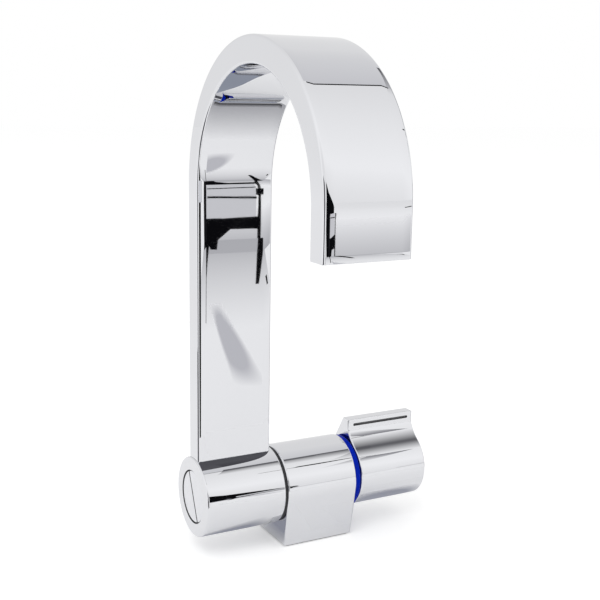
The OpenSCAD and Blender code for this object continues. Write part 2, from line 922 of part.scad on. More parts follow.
module stop_pin() {
    color(steel)
        along_x(hub_right - stop_pin_grip + fit)
            rotate([0, 0, -90])
                translate([stop_r, 0, 0])
                    cylinder(h = stop_pin_len, d = stop_pin_d);
}

// Section of the knob: drum, fin with a sloping back and an upright front, front hollow
module knob_2d() {
    circle(r = knob_r);
    difference() {
        union() {
            polygon([
                [0, 0],
                [knob_r * cos(rear_angle), knob_r * sin(rear_angle)],
                rear_edge + fin_top_r * [cos(rear_angle), sin(rear_angle)],
                rear_edge,
                rear_edge + [0, fin_top_r],
                [-fin_y, fin_h],
                fin_foot,
                [knob_r * cos(scoop_angle), knob_r * sin(scoop_angle)]
            ]);
            translate(rear_edge)
                circle(r = fin_top_r);
        }
        intersection() {
            translate(scoop_at)
                circle(r = fin_scoop_r);
            translate([-2 * knob_r, 0])
                square([2 * knob_r, fin_foot[1]]);
        }
    }
}

module spindle_flats_2d(gap) {
    intersection() {
        circle(r = spindle_r - flats_step + gap);
        square([flats_w + 2 * gap, 2 * spindle_d], center = true);
    }
}

module knob_shell() {
    groove_len = knob_len - 2 * groove_margin;
    groove_z = fin_h - fin_face_h / 2;
    color(chrome)
        difference() {
            union() {
                difference() {
                    union() {
                        drum_x(knob_left, knob_len, knob_r, knob_rim_r, knob_edge_r);
                        intersection() {
                            across(knob_left, knob_len)
                                knob_2d();
                            translate([knob_left, -knob_r, axis_h])
                                cube([knob_len, 2 * knob_r, 2 * fin_h]);
                        }
                    }
                    rod_x(knob_left - cut, knob_right - knob_end_t, knob_r - knob_wall);
                }
                rod_x(boss_left, knob_right - knob_end_t + merge, boss_d / 2);
                for (i = [0 : rib_count - 1]) {
                    along_x(knob_left + rib_start)
                        rotate([0, 0, rib_turn + i * 360 / rib_count])
                            translate([0, -rib_t / 2, 0])
                                cube([
                                    knob_r - knob_wall / 2,
                                    rib_t,
                                    knob_len - rib_start - knob_end_t / 2
                                ]);
                }
            }
            across(boss_left - cut, spindle_end + screw_gap - boss_left + cut)
                spindle_flats_2d(fit);
            rod_x(spindle_end, screw_seat + cut, screw_r + screw_gap);
            rod_x(screw_seat, knob_right + cut, screw_head_r + screw_gap);
            rod_x(knob_right - cap_t, knob_right + cut, cap_r + fit);
            // Finger groove with round ends in the fin's front face
            translate([knob_left + groove_margin, -fin_y + groove_depth, axis_h + groove_z])
                rotate([90, 0, 0])
                    linear_extrude(height = groove_depth + cut) {
                        translate([groove_w / 2, -groove_w / 2])
                            square([groove_len - groove_w, groove_w]);
                        for (x = [groove_w / 2, groove_len - groove_w / 2]) {
                            translate([x, 0])
                                circle(d = groove_w);
                        }
                    }
        }
}

module valve_spindle() {
    color(brass)
        difference() {
            union() {
                across(flange_left, flange_t)
                    union() {
                        circle(r = pocket_r - lug_rib - 2 * disc_gap);
                        intersection() {
                            circle(r = pocket_r - 2 * disc_gap);
                            sector_2d(pocket_r, 90 - lug_angle / 2, 90 + lug_angle / 2);
                        }
                    }
                // Two keys that turn the moving disc
                for (side = [-1, 1]) {
                    translate([flange_left - key_len, side * key_at - key_w / 2, axis_h - key_h / 2])
                        cube([key_len + merge, key_w, key_h]);
                }
                rod_x(flange_right - merge, clip_left, spindle_r);
                rod_x(clip_left - merge, clip_left + clip_t + cam_play / 2, spindle_r - clip_groove);
                across(clip_left + clip_t, spindle_end - clip_left - clip_t)
                    spindle_flats_2d(0);
            }
            oring_groove_x(spindle_oring_x, spindle_r);
            rod_x(spindle_end - screw_grip - screw_gap, spindle_end + cut, screw_r);
        }
}

module moving_disc() {
    color(ceramic)
        difference() {
            port_disc(moving_left, port_land - turn_angle);
            for (side = [-1, 1]) {
                translate([
                    flange_left - key_len - fit,
                    side * key_at - key_w / 2 - fit,
                    axis_h - key_h / 2 - fit
                ])
                    cube([key_len + cut, key_w + 2 * fit, key_h + 2 * fit]);
            }
        }
}

module spindle_oring() {
    color(rubber)
        oring_x(spindle_oring_x, spindle_r + run / 2);
}

module spindle_clip() {
    color(steel)
        difference() {
            ring_x(
                clip_left + fit / 2,
                clip_left + clip_t - fit / 2,
                spindle_r + clip_rim,
                spindle_r - clip_groove + fit
            );
            translate([clip_left - cut, -clip_mouth / 2, axis_h])
                cube([clip_t + 2 * cut, clip_mouth, 2 * spindle_d]);
        }
}

// Cam radius by angle: it grows evenly over the turn, so that the rod moves evenly.
// The rod stands below the cam, at 270 degrees
function cam_radius(a) = cam_r + cam_lift * min(max(270 - a, 0), turn_angle) / turn_angle;

module switch_cam() {
    fine = 3;
    coarse = 12;
    lead = 18;
    ramp_start = 270 - turn_angle - lead;
    ramp_end = 270 + lead;
    ramp = [for (a = [ramp_start : fine : ramp_end]) [a, cam_radius(a)]];
    plain = [for (a = [ramp_end + coarse : coarse : ramp_start + 360 - coarse]) [a, cam_r]];
    color(white_plastic)
        across(cam_left, cam_t)
            difference() {
                polygon([for (p = concat(ramp, plain)) p[1] * [cos(p[0]), sin(p[0])]]);
                spindle_flats_2d(fit);
            }
}

module knob_screw() {
    color(steel)
        difference() {
            union() {
                drum_x(screw_seat, screw_head_t, screw_head_r, screw_gap, 3 * screw_gap);
                rod_x(spindle_end - screw_grip, screw_seat + merge, screw_r - fit);
            }
            for (a = [0, 90]) {
                along_x(screw_seat + screw_head_t)
                    rotate([0, 0, a])
                        cube([recess_len, recess_w, 2 * recess_depth], center = true);
            }
        }
}

module end_cap() {
    color(chrome) {
        drum_x(knob_right - cap_t + fit, cap_t - fit, cap_r, merge, cap_edge_r);
        ring_x(
            knob_right - cap_t - cap_spigot_len,
            knob_right - cap_t + fit + merge,
            screw_head_r + screw_gap - fit,
            screw_head_r + screw_gap - fit - cap_spigot_wall
        );
    }
}

module switch_rod() {
    color(brass)
        translate([switch_x, 0, button_z])
            cylinder(h = rod_top - button_z, r = rod_r);
}

module switch_button() {
    color(cold_blue)
        translate([switch_x, 0, button_z - button_h])
            cylinder(h = button_h, r = button_r);
}

body_housing();
base_gasket();
pivot_axle();
axle_orings();
cone_spring();
seam_washer();
valve_sleeve();
sleeve_oring();
inlet_seal();
fixed_disc();
gland_nut();
colour_ring();
knob_glide();
switch_carrier();
switch_case();
switch_terminals();
spout_hub();
spout_tube();
outlet_insert();
hub_bushes();
stop_pin();
knob_shell();
valve_spindle();
moving_disc();
spindle_oring();
spindle_clip();
switch_cam();
knob_screw();
end_cap();
switch_rod();
switch_button();
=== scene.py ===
# %% [markdown]
# A folding tap for a caravan sink, dressed for its picture.
# The imported model is the frame: it gives every solid its place and its size in metres,
# and it is never moved here. This first cell loads it and keeps its solids, so that their
# boxes can be read later.

# %% Load the frame
import math

import bpy
from mathutils import Matrix, Vector


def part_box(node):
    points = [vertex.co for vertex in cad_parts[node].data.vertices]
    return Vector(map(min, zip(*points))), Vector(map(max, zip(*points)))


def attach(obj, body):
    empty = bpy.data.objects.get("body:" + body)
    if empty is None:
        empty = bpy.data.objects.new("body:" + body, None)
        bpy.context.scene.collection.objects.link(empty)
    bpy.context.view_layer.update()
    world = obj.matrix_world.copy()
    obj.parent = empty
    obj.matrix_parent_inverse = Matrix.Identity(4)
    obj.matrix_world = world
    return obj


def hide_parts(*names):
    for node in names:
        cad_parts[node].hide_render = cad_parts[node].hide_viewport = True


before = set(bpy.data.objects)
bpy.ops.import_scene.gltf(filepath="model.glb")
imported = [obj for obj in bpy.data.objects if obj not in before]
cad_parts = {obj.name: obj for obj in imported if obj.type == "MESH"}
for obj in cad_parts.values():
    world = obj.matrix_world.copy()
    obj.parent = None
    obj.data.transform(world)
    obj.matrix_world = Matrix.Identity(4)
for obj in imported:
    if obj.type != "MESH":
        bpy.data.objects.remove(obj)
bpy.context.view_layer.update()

MM = 0.001
print("solids in the frame:", len(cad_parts))

# %% [markdown]
# The tap was photographed from a little above, from its left front corner, with a long
# lens. The camera's place was worked out once from the corners of the tap in the picture.
# It could be aimed with a Track To constraint, but a plain matrix keeps the small roll too.

# %% Camera
CAMERA_AT = Vector((-221.591, -405.802, 202.340)) * MM
CAMERA_YAW = math.radians(28.190)
CAMERA_PITCH = math.radians(11.102)
CAMERA_ROLL = math.radians(0.909)
IMAGE_SIDE = 600
FOCAL_PIXELS = 1031.26
SENSOR_WIDTH = 36.0

camera_data = bpy.data.cameras.new("product_camera")
camera_data.sensor_width = SENSOR_WIDTH
camera_data.lens = SENSOR_WIDTH * FOCAL_PIXELS / IMAGE_SIDE
camera_data.clip_start = 0.01
camera_data.clip_end = 50.0
camera = bpy.data.objects.new("product_camera", camera_data)
bpy.context.scene.collection.objects.link(camera)
camera.matrix_world = (
    Matrix.Translation(CAMERA_AT)
    @ Matrix.Rotation(-CAMERA_YAW, 4, "Z")
    @ Matrix.Rotation(math.radians(90) - CAMERA_PITCH, 4, "X")
    @ Matrix.Rotation(CAMERA_ROLL, 4, "Z")
)
bpy.context.scene.camera = camera
print("lens in mm:", round(camera_data.lens, 2))

# %% [markdown]
# Node trees are long to write, so a few small helpers do the typing. They add a node with
# its values, join sockets, put in a sum or a change of scale, and start a new material.
# The last one clears the selection, before a new piece is added.

# %% Node helpers
def add_node(tree, kind, at, settings=None, values=None, family="ShaderNode"):
    node = tree.nodes.new(family + kind)
    node.location = at
    for name, value in (settings or {}).items():
        setattr(node, name, value)
    for socket, value in (values or {}).items():
        node.inputs[socket].default_value = value
    return node


def join(tree, *pairs):
    """Joins each pair of sockets, given as source and target."""
    for source, target in pairs:
        tree.links.new(source, target)


def calculate(tree, operation, first, second, at):
    """A Math node whose inputs are sockets or plain numbers. Gives back its output."""
    node = add_node(tree, "Math", at, {"operation": operation})
    for socket, value in zip(node.inputs, (first, second)):
        if isinstance(value, (int, float)):
            socket.default_value = value
        else:
            join(tree, (value, socket))
    return node.outputs[0]


def rescale(tree, value, at, **ends):
    """A Map Range node. The ends left out of from_min to to_max stay 0 and 1."""
    labels = {name.replace("_", " ").title(): end for name, end in ends.items()}
    node = add_node(tree, "MapRange", at, values=labels)
    join(tree, (value, node.inputs["Value"]))
    return node.outputs[0]


def new_material(name):
    material = bpy.data.materials.new(name)
    material.use_nodes = True
    tree = material.node_tree
    shader = tree.nodes["Principled BSDF"]
    shader.location = (600, 0)
    tree.nodes["Material Output"].location = (900, 0)
    return material, tree, shader


def stage_material(name):
    """An empty material for the stage, with nothing but its output node."""
    material = bpy.data.materials.new(name)
    material.use_nodes = True
    tree = material.node_tree
    tree.nodes.clear()
    return material, tree, add_node(tree, "OutputMaterial", (900, 0))


def deselect_all():
    bpy.ops.object.select_all(action="DESELECT")


print("helpers ready")

# %% [markdown]
# The studio is a white table that runs into a white wall. A photographer lights such a set
# until the paper is pure white, yet the tap still throws a soft shadow. One way is more
# lamps, but they would burn out the tap. Here the paper has a pale colour of its own and
# glows a little for the camera and for reflections only, so the shadow stays. Far from the
# lamps it glows more in a reflection, so that no horizon shows in the metal.

# %% White table
FLOOR_HALF = 6.0
PAPER = (0.88, 0.88, 0.88, 1.0)
GLOW_SEEN = 0.29
GLOW_NEAR = 0.12
GLOW_FAR = 0.22
MIRROR_RAYS = ["Is Glossy Ray", "Is Transmission Ray"]
NEAR_REACH = 0.6
FAR_REACH = 1.6


def light_path_mask(tree, kinds, at):
    """1 for the kinds of ray that are named, such as what the camera sees, and 0 for others."""
    path = add_node(tree, "LightPath", at)
    mask = path.outputs[kinds[0]]
    for step, kind in enumerate(kinds[1:], 1):
        mask = calculate(tree, "MAXIMUM", mask, path.outputs[kind], (at[0] + 180 * step, at[1]))
    return mask


def paper_material():
    material, tree, end = stage_material("studio paper")
    both = add_node(tree, "AddShader", (700, 0))
    matt = add_node(tree, "BsdfDiffuse", (400, 100), values={"Color": PAPER})
    glow = add_node(tree, "Emission", (400, -100))
    place = add_node(tree, "TexCoord", (-700, -500))
    away = add_node(tree, "VectorMath", (-500, -500), {"operation": "LENGTH"})
    join(tree, (place.outputs["Object"], away.inputs[0]))
    reach = {"from_min": NEAR_REACH, "from_max": FAR_REACH}
    glows = {"to_min": GLOW_NEAR, "to_max": GLOW_FAR}
    by_distance = rescale(tree, away.outputs["Value"], (-300, -500), **reach, **glows)
    camera_mask = light_path_mask(tree, ["Is Camera Ray"], (-300, -100))
    mirror_mask = light_path_mask(tree, MIRROR_RAYS, (-400, -300))
    seen = calculate(tree, "MULTIPLY", camera_mask, GLOW_SEEN, (0, -100))
    reflected = calculate(tree, "MULTIPLY", mirror_mask, by_distance, (0, -300))
    total = calculate(tree, "ADD", seen, reflected, (200, -200))
    join(
        tree,
        (total, glow.inputs["Strength"]),
        (matt.outputs[0], both.inputs[0]),
        (glow.outputs[0], both.inputs[1]),
        (both.outputs[0], end.inputs["Surface"]),
    )
    return material


deselect_all()
bpy.ops.mesh.primitive_plane_add(size=2 * FLOOR_HALF, location=(0, 0, 0))
table_top = bpy.context.object
table_top.name = "white_table"
table_top.data.materials.append(paper_material())
print("table side in m:", 2 * FLOOR_HALF)

# %% [markdown]
# The room round the tap is the world. The camera sees it plain white. A reflection sees
# the room a little dimmer high up behind the right side, which gives the bright metal its
# slow gradients, and dimmer again low down in front. As a light the room is a little
# dimmer too, since lamps give the rest.

# %% White room
ROOM_LIGHT = 0.80
DIM_WAY = (0.35, 0.80, 0.49)
DIM_SIDE = 0.85
BRIGHT_SIDE = 1.07
BRIGHT_UNTIL = -0.25
DIM_FROM = 0.87
FRONT_FOOT = 0.87
FOOT_UNTIL = -0.56
FOOT_GONE = -0.30

world = bpy.data.worlds.new("white room")
bpy.context.scene.world = world
world.use_nodes = True
room = world.node_tree
room.nodes.clear()
room_end = add_node(room, "OutputWorld", (900, 0))
room_back = add_node(room, "Background", (700, 0), values={"Color": (1, 1, 1, 1)})
room_way = add_node(room, "TexCoord", (-700, -300))
room_side = add_node(room, "VectorMath", (-500, -300), {"operation": "DOT_PRODUCT"})
room_side.inputs[1].default_value = DIM_WAY
join(room, (room_way.outputs["Generated"], room_side.inputs[0]))
turned_away = room_side.outputs["Value"]
sides = {"from_min": BRIGHT_UNTIL, "from_max": DIM_FROM, "to_min": BRIGHT_SIDE, "to_max": DIM_SIDE}
room_tone = rescale(room, turned_away, (-300, -300), **sides)
foot = {"from_min": FOOT_UNTIL, "from_max": FOOT_GONE, "to_min": FRONT_FOOT}
front_foot = rescale(room, turned_away, (-300, -600), **foot)
room_total = calculate(room, "MULTIPLY", room_tone, front_foot, (-50, -400))
mirror_mask = light_path_mask(room, MIRROR_RAYS, (-400, 0))
camera_mask = light_path_mask(room, ["Is Camera Ray"], (200, 200))
lit_or_mirrored = add_node(room, "Mix", (200, 0), values={"A": ROOM_LIGHT})
seen_white = add_node(room, "Mix", (450, 0), values={"B": 1.0})
join(
    room,
    (mirror_mask, lit_or_mirrored.inputs["Factor"]),
    (room_total, lit_or_mirrored.inputs["B"]),
    (camera_mask, seen_white.inputs["Factor"]),
    (lit_or_mirrored.outputs["Result"], seen_white.inputs["A"]),
    (seen_white.outputs["Result"], room_back.inputs["Strength"]),
    (room_back.outputs[0], room_end.inputs["Surface"]),
)
bpy.context.scene.view_settings.view_transform = "Standard"
print("room light:", ROOM_LIGHT)

# %% [markdown]
# Bright plating shows what stands round it and little else. In a room that is white all
# over it would look like white paint, so a photographer hangs black and grey cards: they
# draw the dark lines that make it read as metal. Each card is a thin stage piece which
# reflections see and the camera doesn't. Its edges are hard or soft, or it fades towards
# its near side. A fading card can keep to mirrors farther than 190 mm away, and a few
# cards are only for what one mirror shows in another, such as the hub in the spout.

# %% Card helper
SECOND_MIRROR = 1.5
FAR_MIRROR = 0.19
SOFT_FROM = 0.002
SOFT_TO = 0.035


def soft_mask(tree, across, along):
    """0 on all four edges of the card and 1 a little further in."""
    humps = []
    for side, height in ((across, 100), (along, -100)):
        rest = calculate(tree, "SUBTRACT", 1.0, side, (-500, height))
        humps.append(calculate(tree, "MULTIPLY", side, rest, (-300, height)))
    both = calculate(tree, "MULTIPLY", humps[0], humps[1], (-120, 0))
    return rescale(tree, both, (50, -200), from_min=SOFT_FROM, from_max=SOFT_TO)


def card_mask(tree, edge):
    """Where a card is opaque: soft, fading, or only for second or for far mirrors."""
    place = add_node(tree, "TexCoord", (-900, 0))
    split = add_node(tree, "SeparateXYZ", (-700, 0))
    join(tree, (place.outputs["UV"], split.inputs[0]))
    if edge == "soft":
        return soft_mask(tree, split.outputs["X"], split.outputs["Y"])
    if edge == "fade":
        return split.outputs["Y"]
    path = add_node(tree, "LightPath", (-500, -200))
    if edge == "second":
        depth = path.outputs["Glossy Depth"]
        return calculate(tree, "GREATER_THAN", depth, SECOND_MIRROR, (-50, 0))
    away = calculate(tree, "GREATER_THAN", path.outputs["Ray Length"], FAR_MIRROR, (-300, -200))
    return calculate(tree, "MULTIPLY", split.outputs["Y"], away, (-50, 0))


def card_material(name, shade, edge):
    material, tree, end = stage_material(name)
    glow = add_node(tree, "Emission", (200, 0), values={"Color": (*shade, 1.0)})
    if edge == "hard":
        join(tree, (glow.outputs[0], end.inputs["Surface"]))
        return material
    clear = add_node(tree, "BsdfTransparent", (200, 150))
    mix = add_node(tree, "MixShader", (450, 0))
    join(
        tree,
        (card_mask(tree, edge), mix.inputs["Fac"]),
        (clear.outputs[0], mix.inputs[1]),
        (glow.outputs[0], mix.inputs[2]),
        (mix.outputs[0], end.inputs["Surface"]),
    )
    return material


def hang_card(name, corners, shade, edge="hard"):
    """A flat card through four corners in mm: two of its near side, then two of its far side."""
    deselect_all()
    bpy.ops.mesh.primitive_plane_add(size=2.0)
    card = bpy.context.object
    card.name = name
    order = sorted(card.data.vertices, key=lambda v: math.atan2(v.co.y, v.co.x))
    for vertex, corner in zip(order, corners):
        vertex.co = Vector(corner) * MM
    card.data.materials.append(card_material(name + " shade", shade, edge))
    card.visible_camera = False
    card.visible_diffuse = False
    card.visible_shadow = False
    card.visible_transmission = False


def facing(y, *numbers):
    """Corners of an upright card across the front, from the x and height of each in turn."""
    return [(x, y, z) for x, z in zip(numbers[::2], numbers[1::2])]


def lying(z, *numbers):
    """Corners of a level card, from the x and y of each in turn."""
    return [(x, y, z) for x, y in zip(numbers[::2], numbers[1::2])]


def standing(left, right, height):
    """Corners of an upright card over two points of the floor."""
    return [(*left, 0), (*right, 0), (*right, height), (*left, height)]


print("cards can be hung")

# %% [markdown]
# The cards in front stand low, far behind the camera's side. The spout's front shows the
# dark opening with its pale lintel, the hub shows the tall black drape, and all rounded
# edges on the left show the dark place where the photographer stands. Some lie on the
# table: the grey and dark patches under and in front of the tap are painted shadow and
# shade on the table, which only the metal mirrors. A row gives the card's name, its
# corners in mm and its tone, and its edge where that isn't hard.

# %% Cards in front
BLACK = (0.004, 0.004, 0.005)
DARK = (0.07, 0.07, 0.08)
GREY = (0.24, 0.24, 0.26)
PALE = (0.60, 0.60, 0.63)
WHITISH = (0.70, 0.70, 0.72)
# Tones of painted shade and shadow on the table, which only the metal mirrors:
FAR_TABLE_SHADE = (0.50, 0.50, 0.52)
LEG_TABLE_SHADE = (0.52, 0.52, 0.54)
CROWN_SHADOW_TONE = (0.41, 0.41, 0.43)
HUB_SHADOW_TONE = (0.30, 0.31, 0.36)
KNOB_SHADOW_TONE = (0.36, 0.37, 0.42)
CROWN_SHADE_TONE = (0.39, 0.42, 0.48)
DRAPE_Y = -1500

FRONT_CARDS = [
    ("opening", facing(-950, 349, 16, 430, 14, 430, 32, 351, 31), BLACK),
    ("opening_foot", facing(-950, 349, 0, 365, 0, 388, 17, 349, 17), BLACK),
    ("opening_floor", lying(0.6, 348, -950, 366, -950, 326, -862, 318, -866), BLACK),
    ("lintel", facing(-955, 349, 31, 428, 31, 428, 74, 349, 74), WHITISH),
    ("rail", facing(-953, 350, 60, 428, 58, 428, 61, 350, 63), BLACK),
    ("left_jamb", facing(-952, 339, 0, 342, 0, 334, 74, 331, 74), DARK),
    ("right_jamb", facing(-949, 427, 0, 433, 0, 433, 74, 429, 74), BLACK),
    ("left_strip", lying(0.5, 128, -450, 133, -450, 352, -950, 342, -950), BLACK),
    ("right_strip", lying(0.5, 262, -610, 266, -610, 441, -950, 429, -950), BLACK),
    ("right_blot", lying(0.5, 318, -575, 336, -575, 350, -635, 326, -635), BLACK),
    ("tall_drape", facing(DRAPE_Y, 495, 0, 565, 0, 565, 320, 495, 600), BLACK),
    ("low_drape", facing(DRAPE_Y, 565, 0, 712, 8, 712, 80, 565, 320), BLACK),
    ("drape_floor", lying(0.6, 275, -880, 345, -905, 620, -1500, 495, -1500), BLACK),
    ("skirting", facing(DRAPE_Y, 955, 24, 1400, 24, 1400, 38, 955, 35), BLACK),
    # a soft grey patch of painted shadow on the table, mirrored in the spout
    ("floor_cloth", lying(0.5, 70, -244, 95, -236, 183, -523, 171, -526), PALE, "soft"),
    # these two are painted shade: the far table fades darker in the riser and the outlet leg
    ("riser_shade", lying(0.3, 10, -420, 330, -420, 442, -950, 300, -950), FAR_TABLE_SHADE, "fade"),
    ("leg_shade", lying(0.4, 1050, -1340, 470, -1340, 290, -830, 760, -830), LEG_TABLE_SHADE, "fade"),
    ("photographer", standing((-507, -1118), (-1096, -605), 400), DARK),
    ("dark_floor", lying(0.3, -98, -107, -152, -60, -1096, -605, -507, -1118), DARK),
    ("near_floor", lying(0.3, -118, -62, -150, -12, -430, -40, -400, -205), DARK),
    ("edge_strip", lying(0.5, -24, -160, -9, -160, 325, -1247, 193, -1280), BLACK),
    ("edge_post", standing((193, -1280), (325, -1247), 160), BLACK),
    ("grey_floor", lying(0.3, 150, -60, 150, 20, 1140, 150, 1160, -310), GREY),
    ("right_post", standing((1160, -310), (1140, 150), 240), GREY),
    # painted shadow under the hub and under the knob, mirrored in their undersides
    ("under_hub", lying(0.3, -58, -4, -19, -21, -19, 27, -58, 27), HUB_SHADOW_TONE, "soft"),
    ("under_knob", lying(0.3, 24, -20, 70, -20, 70, 27, 24, 27), KNOB_SHADOW_TONE, "soft"),
    # painted shadow on the table in front of the tap, mirrored in the crown's underside
    ("crown_shade", lying(0.4, 0, -162, 140, -162, 110, -14, 0, -14), CROWN_SHADOW_TONE, "far"),
    ("knob_front", lying(0.5, 12, -34, 92, -34, 88, -19, 16, -19), BLACK, "far"),
    # painted shade of the table under the crown, seen only in a second mirror
    ("crown_floor", lying(0.7, 0, -200, 170, -200, 150, -20, 0, -20), CROWN_SHADE_TONE, "second"),
    ("crown_front", facing(-900, 350, 50, 640, 50, 640, 330, 350, 330), BLACK, "second"),
]
for card in FRONT_CARDS:
    hang_card(*card)
print("front cards:", len(FRONT_CARDS))

# %% [markdown]
# Overhead, a thin gap between two softboxes draws the line over the crown. Lower cards to
# the right give the hub, body and knob their grey bands, darker towards the back. The last
# one shows as a dark sliver low in the spout, where the spout mirrors the hub.

# %% Cards above
ROOF = 700
PANEL = 350
DIM = (0.12, 0.12, 0.13)

UPPER_CARDS = [
    ("roof_gap", lying(ROOF, 170, -114, 345, -114, 345, -104, 170, -104), BLACK),
    ("roof_panel", lying(ROOF + 1, 150, 330, 420, 330, 420, -104, 150, -104), WHITISH, "fade"),
    ("grey_panel", lying(PANEL, 80, -118, 200, -140, 200, -30, 80, -36), DARK, "fade"),
    ("panel_edge", lying(PANEL, 138, -228, 172, -234, 172, -228, 138, -223), BLACK),
    ("body_edge", lying(PANEL, 172, -236, 200, -244, 262, -229, 172, -216), BLACK),
    ("grey_panel_right", lying(PANEL, 200, -215, 345, -235, 345, -20, 200, -20), DARK, "fade"),
    ("hollow_shade", lying(PANEL, 250, -390, 305, -390, 305, -245, 250, -238), GREY, "fade"),
    ("foot_shade", lying(PANEL + 1, 20, -400, 300, -400, 300, 20, 20, 20), DIM, "second"),
]
for card in UPPER_CARDS:
    hang_card(*card)
print("upper cards:", len(UPPER_CARDS))

# %% [markdown]
# Two wide soft lamps stand for the studio's softboxes, each with its place and side in
# metres and its power in watts. They give the shadow its direction. Their own shapes are
# hidden from reflections, which show the white room instead.

# %% Lamps
LAMP_AIM = Vector((0, 0, 0.08))
LAMPS = [
    ("key_softbox", (-0.9, -0.8, 1.6), 1.0, 9.0),
    ("fill_softbox", (1.2, -0.9, 1.1), 1.2, 1.8),
]
for name, at, side, power in LAMPS:
    data = bpy.data.lights.new(name, "AREA")
    data.shape = "SQUARE"
    data.size = side
    data.energy = power
    lamp = bpy.data.objects.new(name, data)
    bpy.context.scene.collection.objects.link(lamp)
    lamp.location = at
    lamp.rotation_euler = (LAMP_AIM - Vector(at)).to_track_quat("-Z", "Y").to_euler()
    lamp.visible_glossy = False
    lamp.visible_camera = False
print("lamps:", len(bpy.data.lights))

# %% [markdown]
# An effect that several finishes share is a node group. The first gives plating its life:
# a slow drift of tone, faint wiped haze, and a ripple far too low to see except in a
# reflection, where it bends straight lines a little, as polished castings do.

# %% Group: plating
def add_socket(tree, label, side, kind="NodeSocketFloat"):
    return tree.interface.new_socket(name=label, in_out=side, socket_type=kind)


def start_group(name, takes, gives):
    """A node group that takes a vector and some numbers, and gives the named numbers."""
    tree = bpy.data.node_groups.new(name, "ShaderNodeTree")
    add_socket(tree, "Vector", "INPUT", "NodeSocketVector")
    for label, value in takes.items():
        add_socket(tree, label, "INPUT").default_value = value
    for label in gives:
        add_socket(tree, label, "OUTPUT")
    start = add_node(tree, "GroupInput", (-800, 0), family="Node")
    end = add_node(tree, "GroupOutput", (800, 0), family="Node")
    print(name, "sockets:", [s.name for s in tree.interface.items_tree])
    return tree, start, end


def add_noise(tree, height, values):
    return add_node(tree, "TexNoise", (-400, height), values=values)


plating_group, start, end = start_group(
    "polished plating", {"Haze scale": 90.0, "Ripple scale": 60.0}, ["Tone", "Haze", "Ripple"]
)
drift = add_noise(plating_group, 250, {"Scale": 18.0, "Detail": 2.0})
haze = add_noise(plating_group, 0, {"Detail": 5.0, "Roughness": 0.65})
specks = add_noise(plating_group, -250, {"Scale": 2400.0, "Detail": 1.0})
ripple = add_noise(plating_group, -500, {"Detail": 1.0, "Roughness": 0.3})
for noise in (drift, haze, specks, ripple):
    join(plating_group, (start.outputs["Vector"], noise.inputs["Vector"]))
haze_cut = rescale(plating_group, haze.outputs[0], (-100, 0), from_min=0.45, from_max=0.75)
haze_mix = calculate(plating_group, "MULTIPLY", haze_cut, specks.outputs[0], (150, 0))
join(
    plating_group,
    (start.outputs["Haze scale"], haze.inputs["Scale"]),
    (start.outputs["Ripple scale"], ripple.inputs["Scale"]),
    (drift.outputs[0], end.inputs["Tone"]),
    (haze_mix, end.inputs["Haze"]),
    (ripple.outputs[0], end.inputs["Ripple"]),
)

# %% [markdown]
# Parts from a lathe carry fine rings where the tool went round. The rings follow the
# distance along the axis and out from it, so the piece's own coordinates give them: on a
# flat end they are circles, and on a barrel they are hoops.

# %% Group: lathe marks
WOBBLE = 0.0003

lathe_group, start, end = start_group(
    "lathe marks", {"Rings per metre": 4000.0}, ["Lines", "Tone"]
)
split = add_node(lathe_group, "SeparateXYZ", (-600, 0))
across = add_node(lathe_group, "CombineXYZ", (-450, -150))
radius = add_node(lathe_group, "VectorMath", (-300, -150), {"operation": "LENGTH"})
wobble = add_noise(lathe_group, 300, {"Scale": 300.0, "Detail": 2.0})
join(
    lathe_group,
    (start.outputs["Vector"], split.inputs[0]),
    (split.outputs["Y"], across.inputs["Y"]),
    (split.outputs["Z"], across.inputs["Z"]),
    (across.outputs[0], radius.inputs[0]),
    (start.outputs["Vector"], wobble.inputs["Vector"]),
)
along = calculate(lathe_group, "ADD", radius.outputs["Value"], split.outputs["X"], (-150, 0))
drifting = calculate(lathe_group, "MULTIPLY", wobble.outputs[0], WOBBLE, (-100, 300))
shifted = calculate(lathe_group, "ADD", along, drifting, (50, 100))
turns = calculate(lathe_group, "MULTIPLY", shifted, start.outputs["Rings per metre"], (200, 100))
wave = add_node(lathe_group, "Math", (350, 100), {"operation": "SINE"})
join(lathe_group, (turns, wave.inputs[0]))
level = rescale(lathe_group, wave.outputs[0], (520, 100), from_min=-1.0)
join(lathe_group, (level, end.inputs["Lines"]), (wobble.outputs[0], end.inputs["Tone"]))

# %% [markdown]
# Moulded and pressed parts share a third effect, and bare casting has it too: a fine
# grain from the mould, slow patches of tone where the melt cooled, and rubbed spots that
# shine a little more.

# %% Group: mould grain
PATCH_SCALE = 120.0

grain_group, start, end = start_group(
    "mould grain",
    {"Grain scale": 3000.0, "Patch scale": PATCH_SCALE},
    ["Grain", "Patches", "Rubbed"],
)
fine = add_node(grain_group, "TexVoronoi", (-400, 250))
soft = add_noise(grain_group, -50, {"Detail": 3.0})
rubs = add_noise(grain_group, -350, {"Scale": 400.0, "Detail": 4.0})
for texture in (fine, soft, rubs):
    join(grain_group, (start.outputs["Vector"], texture.inputs["Vector"]))
rub_cut = rescale(grain_group, rubs.outputs[0], (-100, -350), from_min=0.55, from_max=0.8)
join(
    grain_group,
    (start.outputs["Grain scale"], fine.inputs["Scale"]),
    (start.outputs["Patch scale"], soft.inputs["Scale"]),
    (fine.outputs["Distance"], end.inputs["Grain"]),
    (soft.outputs[0], end.inputs["Patches"]),
    (rub_cut, end.inputs["Rubbed"]),
)

# %% [markdown]
# Every finish below starts in the same way: it reads the piece's own coordinates, moves
# them so that the pattern is centred on the piece, and passes them to one of the groups.
# Three outputs of the group then vary its tones, its roughness and its relief.

# %% Finish helpers
METAL = {"Metallic": 1.0}


